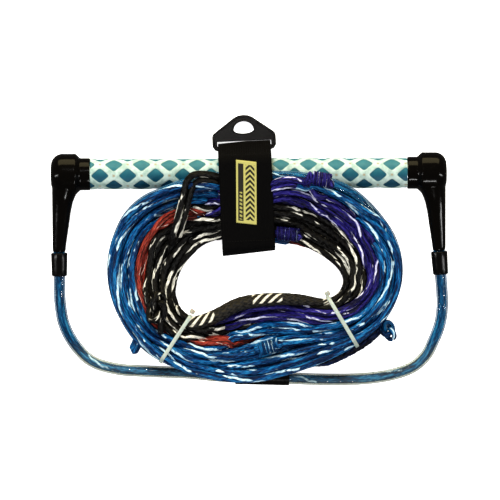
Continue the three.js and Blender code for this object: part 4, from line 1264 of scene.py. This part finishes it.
def strip(name, path, width, inside, outside, edge=0.35 * MM, rib=0.0, rib_pitch=1.1 * MM):
    """Flat webbing along a path in the YZ plane, with rounded edges and fine ribs across."""
    tangent = np.gradient(path, axis=0)
    tangent /= np.linalg.norm(tangent, axis=1)[:, None]
    normal = np.stack([np.zeros(len(path)), tangent[:, 2], -tangent[:, 1]], axis=1)
    columns = 26
    x = np.linspace(-width / 2 + edge, width / 2 - edge, columns)
    along = arc_lengths(path)
    ripple = rib * (0.5 - 0.5 * np.cos(TURN * along / rib_pitch))
    low, high = inside + ripple, outside - ripple
    middle = (inside + outside) / 2
    rows = []
    for i in range(len(path)):
        ring = [(v, high[i]) for v in x] + [(width / 2, middle)]
        ring += [(v, low[i]) for v in x[::-1]] + [(-width / 2, middle)]
        rows.append([path[i] + np.array([v, 0, 0]) + normal[i] * h for v, h in ring])
    points = np.array(rows)
    count = points.shape[1]
    quads = grid_quads(len(path), count, closed_columns=True)
    obj = mesh_object(name, points.reshape(-1, 3), quads, end_caps(len(path), count))
    recalculate(obj)
    ring_x = np.concatenate([x, [width / 2], x[::-1], [-width / 2]])
    uv = obj.data.uv_layers.new(name="UVMap")
    loop_points = np.empty(len(obj.data.loops), dtype=np.int32)
    obj.data.loops.foreach_get("vertex_index", loop_points)
    places = np.stack([ring_x[loop_points % count], along[loop_points // count]], axis=1)
    uv.data.foreach_set("uv", places.ravel())
    return obj


def clamped(value):
    """A share between 0 and 1."""
    return min(max(value, 0), 1)


TAIL_SLANT = 0.07
TAIL_CENTRE = -5 * MM
TAIL_START = -30 * MM
TAIL_BLEND = 45 * MM
LOOP_START = 12 * MM
LOOP_BLEND = 10 * MM
LOOP_TOP_BLEND = 5 * MM


def build_strap():
    """The webbing belt, its tail and its loop each a little askew."""
    path = resample(rounded_path(strap_corners()), 0.55 * MM)
    half = STRAP_THICKNESS / 2
    belt = strip("strap_webbing", path, STRAP_WIDTH, -half, half, rib=0.12 * MM)
    for vertex in belt.data.vertices:
        share = clamped((TAIL_START - vertex.co.y) / TAIL_BLEND)
        vertex.co.y += TAIL_SLANT * (vertex.co.x - TAIL_CENTRE) * share
        share = clamped((vertex.co.y - LOOP_START) / LOOP_BLEND)
        share *= clamped((LOOP_TOP - vertex.co.z) / LOOP_TOP_BLEND)
        vertex.co.y += min(LOOP_SLOPE * (vertex.co.x + STRAP_WIDTH / 2), LOOP_RISE) * share
    belt.data.transform(STRAP_PLACE)
    finish_piece(belt, WEBBING, "handle", "webbing", "strap_belt")


def strap_face():
    """The belt's upper face: its first corner and its direction, in the YZ plane."""
    corners = strap_corners()
    top, inner = np.array(corners[2][:2]), np.array(corners[3][:2])
    return top, (inner - top) / np.linalg.norm(inner - top)


def build_label():
    """The label, sewn on the belt a little askew."""
    top, along = strap_face()
    start = top + along * LABEL_START
    line = [start + along * d for d in np.linspace(0, LABEL_LENGTH, 61)]
    path = np.column_stack([np.zeros(len(line)), np.array(line)])
    low = STRAP_THICKNESS / 2 + 0.05 * MM
    label = strip("label", path, LABEL_WIDTH, low, low + 0.6 * MM, edge=0.25 * MM)
    uv = label.data.uv_layers["UVMap"]
    values = np.empty(len(label.data.loops) * 2)
    uv.data.foreach_get("uv", values)
    values = values.reshape(-1, 2)
    values[:, 0] = values[:, 0] / LABEL_WIDTH + 0.5
    values[:, 1] = 1 - values[:, 1] / LABEL_LENGTH
    uv.data.foreach_set("uv", values.ravel())
    for vertex in label.data.vertices:
        slip = LABEL_SKEW * vertex.co.x
        vertex.co.y += slip
        vertex.co.z += slip * along[1] / along[0]
    middle = Vector((0, (start[0] + line[-1][0]) / 2, 0))
    askew = Matrix.Translation(middle) @ Matrix.Rotation(LABEL_TURN, 4, "Z")
    label.data.transform(STRAP_PLACE @ askew @ Matrix.Translation(-middle))
    finish_piece(label, LABEL, "handle", "label", "label_patch")


def stitch_tree(material):
    """A row of thread stitches along every edge path of a mesh."""
    tree = bpy.data.node_groups.new("stitch_row", "GeometryNodeTree")
    face = tree.interface
    face.new_socket("Geometry", in_out="INPUT", socket_type="NodeSocketGeometry")
    for name in ("Pitch", "Length", "Thread"):
        face.new_socket(name, in_out="INPUT", socket_type="NodeSocketFloat")
    face.new_socket("Seed", in_out="INPUT", socket_type="NodeSocketInt")
    face.new_socket("Geometry", in_out="OUTPUT", socket_type="NodeSocketGeometry")
    add = tree.nodes.new
    given, result = add("NodeGroupInput"), add("NodeGroupOutput")
    curve = add("GeometryNodeMeshToCurve")
    steps = add("GeometryNodeResampleCurve")
    steps.mode = "LENGTH"
    tangent = add("GeometryNodeInputTangent")
    turn = add("FunctionNodeAlignRotationToVector")
    turn.axis = "X"
    grain = add("GeometryNodeMeshUVSphere")
    grain.inputs["Segments"].default_value = 10
    grain.inputs["Rings"].default_value = 6
    grain.inputs["Radius"].default_value = 0.5
    size = add("ShaderNodeCombineXYZ")
    shape = add("GeometryNodeTransform")
    vary = add("FunctionNodeRandomValue")
    vary.data_type = "FLOAT"
    vary.inputs[2].default_value = 0.88
    vary.inputs[3].default_value = 1.0
    copies = add("GeometryNodeInstanceOnPoints")
    real = add("GeometryNodeRealizeInstances")
    paint = add("GeometryNodeSetMaterial")
    paint.inputs["Material"].default_value = material
    for source, target in (
            (given.outputs["Geometry"], curve.inputs["Mesh"]),
            (curve.outputs["Curve"], steps.inputs["Curve"]),
            (given.outputs["Pitch"], steps.inputs["Length"]),
            (tangent.outputs["Tangent"], turn.inputs["Vector"]),
            (given.outputs["Length"], size.inputs["X"]),
            (given.outputs["Thread"], size.inputs["Y"]),
            (given.outputs["Thread"], size.inputs["Z"]),
            (grain.outputs["Mesh"], shape.inputs["Geometry"]),
            (size.outputs["Vector"], shape.inputs["Scale"]),
            (given.outputs["Seed"], vary.inputs["Seed"]),
            (steps.outputs["Curve"], copies.inputs["Points"]),
            (shape.outputs["Geometry"], copies.inputs["Instance"]),
            (turn.outputs["Rotation"], copies.inputs["Rotation"]),
            (vary.outputs[1], copies.inputs["Scale"]),
            (copies.outputs["Instances"], real.inputs["Geometry"]),
            (real.outputs["Geometry"], paint.inputs["Geometry"]),
            (paint.outputs["Geometry"], result.inputs["Geometry"])):
        tree.links.new(source, target)
    return tree


def build_stitches(name, points, material):
    """Stitches along a path of points, as one plain mesh."""
    edges = [(k, k + 1) for k in range(len(points) - 1)]
    mesh = bpy.data.meshes.new(name)
    mesh.from_pydata([tuple(point) for point in points], edges, [])
    row = add_object(f"{name}_row", mesh)
    sew = row.modifiers.new("sew", "NODES")
    sew.node_group = stitch_tree(material)
    values = {"Pitch": STITCH_PITCH, "Length": STITCH_LENGTH, "Thread": STITCH_THREAD,
              "Seed": STITCH_SEED}
    for item in sew.node_group.interface.items_tree:
        if item.in_out == "INPUT" and item.name in values:
            sew[item.identifier] = values[item.name]
    finish_piece(apply_modifiers(row, name), material, "handle", "webbing")


def build_seams():
    """The two seams across the belt, above and below the label."""
    top, along = strap_face()
    lift = np.array([-along[1], along[0]]) * np.sign(along[0])

    def on_face(x, distance, height):
        y, z = top + along * distance + lift * height
        return STRAP_PLACE @ Vector((x, y, z))

    half = STRAP_WIDTH / 2 - SEAM_MARGIN
    above = STRAP_THICKNESS / 2
    for name, distance in SEAMS.items():
        points = [on_face(x, distance, above) for x in np.linspace(-half, half, 40)]
        build_stitches(f"seam_{name}", points, THREAD)


# ---- hang tab -------------------------------------------------------------------------------

TAB_SHOULDER = 17.5
TAB_FOOT_HEIGHT = 1.6 * MM
TAB_REACH = 31 * MM
TAB_BEVEL = 0.5 * MM
TAB_THICKNESS = 2.4 * MM
RIM_THICKNESS = 3.2 * MM
RIM_WIDTH = 2.3
COLLAR_GROWTH = 1.22


def tab_outline():
    """The tab's outline in millimetres, with the pivot at its origin."""
    half, foot, reach = 30.2, -2.45, 31.6
    return [(-half + 6, foot), (half - 6, foot), (half - 2.2, foot + 1.5), (half, 2.5),
            (half, 11.6), (half - 0.9, 13.9), (half - 3, 15.8), (8.6, reach - 2.2),
            (4.4, reach - 0.4), (0, reach), (-4.4, reach - 0.4), (-8.6, reach - 2.2),
            (-half + 3, 15.8), (-half + 0.9, 13.9), (-half, 11.6), (-half, 2.5),
            (-half + 2.2, foot + 1.5)]


def tab_hole():
    """The hole that the tab hangs by: half an oval above its shoulder, a flatter one below."""
    half, foot, top, shoulder = 9.5, 13.9, 25.7, TAB_SHOULDER
    points = []
    for angle in np.linspace(0, math.pi, 19):
        points.append((half * math.cos(angle), shoulder + (top - shoulder) * math.sin(angle)))
    for angle in np.linspace(math.pi, TURN, 19)[1:-1]:
        points.append((half * math.cos(angle), shoulder + (shoulder - foot) * math.sin(angle)))
    return points


def tab_slot():
    """The slot that the strap's loop runs through."""
    half, low, high = 25.6, 2.45, 6.85
    return [(-half, low), (half, low), (half, high), (-half, high)]


def plate(name, outlines, thickness):
    """A flat plate with holes, its edges rounded."""
    bevel = TAB_BEVEL
    curve = bpy.data.curves.new(name, "CURVE")
    curve.dimensions = "2D"
    curve.fill_mode = "BOTH"
    curve.extrude = thickness / 2 - bevel
    curve.bevel_depth = bevel
    curve.bevel_resolution = 3
    curve.offset = -bevel
    for outline in outlines:
        spline = curve.splines.new("POLY")
        spline.points.add(len(outline) - 1)
        for point, (x, y) in zip(spline.points, outline):
            point.co = (x * MM, y * MM, 0, 1)
        spline.use_cyclic_u = True
    made = apply_modifiers(add_object(name, curve), name)
    recalculate(made, merge=0.01 * MM)
    return made


def shrink(outline, amount):
    """An outline moved inwards by the same amount all round."""
    points = np.array(outline)
    before = points - np.roll(points, 1, axis=0)
    after = np.roll(points, -1, axis=0) - points
    along = before / np.linalg.norm(before, axis=1)[:, None]
    along = along + after / np.linalg.norm(after, axis=1)[:, None]
    along /= np.linalg.norm(along, axis=1)[:, None]
    inward = np.stack([-along[:, 1], along[:, 0]], axis=1)
    return [tuple(p) for p in points + inward * amount]


def build_tab():
    """The moulded hang tab, with a raised rim and a collar round its hole."""
    body = plate("tab_plate", [tab_outline(), tab_hole(), tab_slot()], TAB_THICKNESS)
    rim = plate("tab_rim", [tab_outline(), shrink(tab_outline(), RIM_WIDTH)], RIM_THICKNESS)
    collar_out = [(x * COLLAR_GROWTH, TAB_SHOULDER + (y - TAB_SHOULDER) * COLLAR_GROWTH)
                  for x, y in tab_hole()]
    collar = plate("tab_collar", [collar_out, tab_hole()], RIM_THICKNESS)
    tab = join_meshes([body, rim, collar])
    tab.name = "hang_tab_moulding"
    slant = -math.asin((TAB_PIVOT_HEIGHT - TAB_FOOT_HEIGHT) / TAB_REACH)
    pose = Matrix.Translation((0, TAB_PIVOT, TAB_PIVOT_HEIGHT)) @ Matrix.Rotation(slant, 4, "X")
    tab.data.transform(STRAP_PLACE @ pose)
    finish_piece(tab, TAB_BLACK, "hang_tab", "tab_plastic", "hang_tab")


# ---- cable ties -----------------------------------------------------------------------------

TIES = {"left": ((-53.5, -131.5), (-86, -180.5)), "right": ((73.5, -116), (104, -167.5))}
TIE_THICKNESS = 1.1 * MM
TIE_GAP = 0.1 * MM
TIE_FOOT = 0.05 * MM
TIE_SECTION = ((-1, 0.15), (-0.8, 0), (0.8, 0), (1, 0.15),
               (1, 0.85), (0.8, 1), (-0.8, 1), (-1, 0.85))
TIE_STEPS = 120
TIE_OVERREACH = 14 * MM


def hull(points):
    """The convex outline of points in a plane, anticlockwise."""
    ordered = sorted(map(tuple, points))

    def half(items):
        chain = []
        for p in items:
            while len(chain) > 1:
                (ax, ay), (bx, by) = chain[-2], chain[-1]
                if (bx - ax) * (p[1] - ay) - (by - ay) * (p[0] - ax) > 0:
                    break
                chain.pop()
            chain.append(p)
        return chain[:-1]

    return np.array(half(ordered) + half(ordered[::-1]))


def plane_crossings(path, start, along, length, radius):
    """Where a rope passes through an upright plane: circles of its outline in that plane."""
    offset = path[:, :2] - start
    ahead = offset @ np.array([-along[1], along[0]])
    across = offset @ along
    hits = np.nonzero((ahead[:-1] * ahead[1:] <= 0) & (across[:-1] > -TIE_OVERREACH)
                      & (across[:-1] < length + TIE_OVERREACH))[0]
    angle = TURN * np.arange(16) / 16
    return [np.stack([across[i] + radius * np.cos(angle), path[i, 2] + radius * np.sin(angle)],
                     axis=1) for i in hits]


def build_tie(name, start, end):
    """A nylon band drawn round the bundle's own outline, between two points in plan."""
    start, end = np.array(start) * MM, np.array(end) * MM
    length = float(np.linalg.norm(end - start))
    along = (end - start) / length
    rings = []
    for path in COIL_PATHS.values():
        rings += plane_crossings(path, start, along, length, LINE_ROPE / 2)
    rings += plane_crossings(LEAD_PATH, start, along, length, SHEATH / 2)
    outline = hull(np.concatenate(rings))
    closed = np.vstack([outline, outline[:1]])
    places_along = arc_lengths(closed)
    places = np.linspace(0, places_along[-1], TIE_STEPS, endpoint=False)
    ring = np.stack([np.interp(places, places_along, closed[:, k]) for k in range(2)], axis=1)
    for _ in range(3):
        ring = (np.roll(ring, 1, axis=0) + 2 * ring + np.roll(ring, -1, axis=0)) / 4
    tangent = np.roll(ring, -1, axis=0) - np.roll(ring, 1, axis=0)
    tangent /= np.linalg.norm(tangent, axis=1)[:, None]
    out = np.stack([tangent[:, 1], -tangent[:, 0]], axis=1)
    ahead = np.array([-along[1], along[0], 0])
    origin = np.array([start[0], start[1], 0])
    points = []
    for place, normal in zip(ring, out):
        for side, rise in TIE_SECTION:
            spot = place + normal * (TIE_GAP + TIE_THICKNESS * rise)
            height = max(spot[1], TIE_FOOT + TIE_THICKNESS * (1 - rise) * (normal[1] < 0))
            points.append(origin + np.array([along[0], along[1], 0]) * spot[0]
                          + ahead * side * TIE_WIDTH / 2 + np.array([0, 0, height]))
    quads = grid_quads(len(ring), len(TIE_SECTION), closed_rows=True, closed_columns=True)
    band = mesh_object(f"{name}_tie", points, quads)
    recalculate(band)
    finish_piece(band, NYLON, "handle", "tie_nylon", f"{name}_tie_band")


# ---- splices, knots and loops ---------------------------------------------------------------

def placed(points, middle, degrees):
    """Points in millimetres about a piece's own middle, turned about Z and set in place."""
    angle = math.radians(degrees)
    turn = np.array([[math.cos(angle), math.sin(angle), 0], [-math.sin(angle), math.cos(angle), 0],
                     [0, 0, 1]])
    return (np.asarray(points, dtype=float) @ turn + np.asarray(middle)) * MM


def whipping(length, radius, wraps, sides=20):
    """A tight helix of twine about the X axis."""
    share = np.linspace(0, 1, wraps * sides + 1)
    angle = TURN * wraps * share
    return np.column_stack([(share - 0.5) * length, radius * np.cos(angle), radius * np.sin(angle)])


def overhand(length, width, height):
    """The closed run of a simple knot, pulled long."""
    t = np.linspace(0, TURN, 90)
    wave = (2 + np.cos(3 * t)) / 3
    return np.column_stack([length / 2 * wave * np.cos(2 * t), width / 2 * wave * np.sin(2 * t),
                            height / 2 * np.sin(3 * t)])


def soft_piece(name, runs, material, slot, node, middle, degrees):
    """One piece made of several runs of rope or twine, given as [points, diameter]."""
    parts = []
    for k, (points, diameter) in enumerate(runs):
        path = smooth_path(placed(points, middle, degrees), 0.22 * diameter * MM + 0.3 * MM, 6)
        parts.append(rope_mesh(f"{name}_{k}", path, diameter * MM, sides=14, cell=3.4 * MM))
    bpy.ops.object.select_all(action="DESELECT")
    for item in parts:
        item.select_set(True)
    bpy.context.view_layer.objects.active = parts[0]
    if len(parts) > 1:
        bpy.ops.object.join()
    piece = bpy.context.view_layer.objects.active
    piece.name = name
    finish_piece(piece, material, "handle", slot, *([node] if node else []))


def build_soft_pieces():
    """The knots, whippings and loops, by the colour of the line that each belongs to."""
    knot = overhand(30, 15, 9)
    soft_piece("black_knot_run", [(knot, 6.2), ([[-6, -3, 1], [-16, -6, -2], [-24, -7, -5]], 6)],
               BLACK, "rope_black", "black_knot", (-86.5, -127, 36), 80)
    core = [[-14, 0, -2], [-5, 0, 0], [5, 0, 0], [14, 0, -2]]
    soft_piece("blue_splice", [(core, 7.5), (whipping(13, 5.2, 6), 2.4),
                               ([[-9, -7, 2], [-7, -2, 6], [-8, 3, 3]], 3),
                               ([[9, 7, 2], [8, 2, 6], [9, -3, 3]], 3)],
               BLUE, "rope_blue", "blue_splice_knot", (17.5, -163.6, 37), 12)
    middle = [[-15, -7, -3], [-8, -1, 0], [0, 1, 1], [7, 0, 0], [14, -6, -3]]
    side = [[-13, -9, -3], [-11.5, -2, 4], [-9.5, 5, 4], [-8, 1, 4], [-8.5, -8, -2]]
    soft_piece("purple_splice", [(middle, 8.4), (whipping(16, 5.4, 6) + [2.5, 0.5, 0.5], 3.1),
                                 (side, 3.0)],
               PURPLE, "rope_purple", "purple_loop_splice", (66, -6.5, 49), -10)
    soft_piece("blue_loop", [(overhand(19, 12, 6), 4.6), ([[-9, 2, 0], [-18, 4, 2], [-26, 5, 4]], 5.5)],
               BLUE, "rope_blue", "blue_end_loop", (131, -149, 15), -60)
    soft_piece("blue_tip", [([[9, 2, 2], [2, 0.5, 1], [-7, -1, 0]], 8),
                            ([[8, 6, 1], [1, 4, 0], [-5, 3, -1]], 5)],
               BLUE, "rope_blue", "dark_rope_tip", (-107, -164, 15.5), 52)
    strand = [[-20, -6, 38], [-27, -4, 41], [-35, -2, 46], [-44, -1, 49], [-52, -2, 50],
              [-58, -8, 49.5], [-61, -19, 47], [-64.5, -33, 43], [-68, -47, 38], [-72, -59, 32],
              [-74, -68, 24]]
    second = [[-20, -12, 36], [-27, -10, 39], [-35, -7.5, 44], [-43, -6.5, 47], [-49, -8.5, 47],
              [-53, -14, 46], [-56, -24, 44], [-59.5, -37, 40], [-63.5, -50, 34], [-66, -60, 25]]
    soft_piece("black_loop", [(strand, 6.6), (second, 6.2)], LOOP_BLACK, "rope_black",
               "black_loop_strand", (0, 0, 0), 0)
    soft_piece("purple_end", [(whipping(20, 5.4, 9), 2.3), ([[-13, 0, 0], [0, 0, 0], [14, -2, -1]], 9)],
               PURPLE_DARK, "rope_purple", None, (36.5, -57.5, 31), -6)


def build_rim_braid():
    """The coarse dark braid that shows under the rim at the lower right."""
    run = np.array([[128, -138, 15], [124, -146, 11], [114, -156.5, 8.5], [100, -166, 7],
                    [85.5, -173.5, 6.5], [71.5, -179, 7], [57.5, -181, 9]]) * MM
    path = smooth_path(run, 1.3 * MM)
    swell = np.interp(np.linspace(0, 1, len(path)), [0, 0.1, 0.8, 1], [0.6, 1, 0.95, 0.5])
    braid = rope_mesh("rim_braid", path, 9.4 * MM, strands=5, cell=9 * MM, relief=1.0 * MM,
                      sides=32, swell=swell)
    finish_piece(braid, NAVY, "handle", "rope_blue")


def build_eye_splice():
    """The thick black eye splice that lies along the inner edge of the bundle."""
    run = np.array([[-66, -133, 22], [-58.5, -141, 27], [-45, -139.5, 30], [-32, -134.7, 31],
                    [-9.5, -123.4, 31], [12, -119.6, 31], [34, -118.7, 30.5], [53, -120, 30],
                    [68, -121.5, 28], [78, -120, 24]]) * MM
    path = smooth_path(run, 1.3 * MM)
    share = np.linspace(0, 1, len(path))
    swell = np.interp(share, [0, 0.1, 0.25, 0.6, 0.8, 0.93, 1], [0.6, 0.95, 1, 0.95, 0.8, 0.5, 0.3])
    eye = rope_mesh("black_eye_splice", path, 13.5 * MM, strands=10, cell=7.5 * MM,
                    relief=0.8 * MM, sides=40, swell=swell)
    finish_piece(eye, EYE_BLACK, "handle", "rope_black")


# ---- the floor and the light ----------------------------------------------------------------

def build_stage():
    """A wide pale floor just under the handle."""
    size = 3.0
    level = -0.4 * MM
    points = [(-size, -size, level), (size, -size, level), (size, size, level), (-size, size, level)]
    floor = mesh_object("floor", points, [(0, 1, 2, 3)])
    floor.data.materials.append(stage_material())
    floor.visible_glossy = False


def add_light(name, place, target, size, power, colour=(1, 1, 1)):
    lamp = bpy.data.lights.new(name, "AREA")
    lamp.shape = "RECTANGLE"
    lamp.size, lamp.size_y = size
    lamp.energy = power
    lamp.color = colour
    obj = add_object(name, lamp)
    obj.location = place
    obj.rotation_euler = (Vector(target) - Vector(place)).to_track_quat("-Z", "Y").to_euler()
    return obj


def build_light():
    """A white room with a warm card behind, four lamps round the handle and a small glint."""
    world = bpy.data.worlds.new("studio")
    world.use_nodes = True
    world.node_tree.nodes["Background"].inputs["Color"].default_value = (1, 1, 1, 1)
    world.node_tree.nodes["Background"].inputs["Strength"].default_value = 0.13
    bpy.context.scene.world = world
    key = add_light("key", (-0.25, 1.0, 1.2), (0, -0.05, 0), (0.24, 0.14), 20)
    key.visible_glossy = False
    add_light("warm_card", (0.0, 1.1, 0.5), (0, 0, 0.05), (1.8, 0.75), 15, (1.0, 0.86, 0.5))
    add_light("glint", (-0.1, 0.5, 1.3), (0, 0, 0), (0.05, 0.04), 2)
    add_light("left", (-1.3, -0.2, 0.9), (0, -0.1, 0), (0.1, 0.9), 8)
    add_light("right", (1.3, -0.3, 0.9), (0, -0.1, 0), (0.1, 0.9), 8)
    add_light("front", (0.2, -1.2, 1.1), (0, -0.1, 0), (0.5, 0.1), 6)
    bpy.context.scene.view_settings.view_transform = "Standard"
    bpy.context.scene.view_settings.look = "Medium High Contrast"


# ---- pieces that keep their CAD shape --------------------------------------------------------

def finish_cad_nodes():
    """Materials for the nodes that no modelled piece replaces."""
    finishes = {"bar_tube": metal_material(), "flotation_core": foam_material(),
                "bar_rope": BRIDLE_BLUE, "hook_patch": WEBBING, "loop_patch": WEBBING,
                "bridle_junction_sleeve": KEEPER_BLACK, "left_tie_head": NYLON,
                "right_tie_head": NYLON}
    for name, material in finishes.items():
        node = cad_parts[name]
        node.data.materials.clear()
        node.data.materials.append(material)


# ---- assembly -------------------------------------------------------------------------------

build_bridle()
build_lead()
build_coil()
build_grip()
build_caps()
build_keepers()
build_strap()
build_label()
build_seams()
build_tab()
for tie_name, (tie_start, tie_end) in TIES.items():
    build_tie(tie_name, tie_start, tie_end)
build_eye_splice()
build_rim_braid()
build_soft_pieces()
build_stage()
build_light()

finish_cad_nodes()
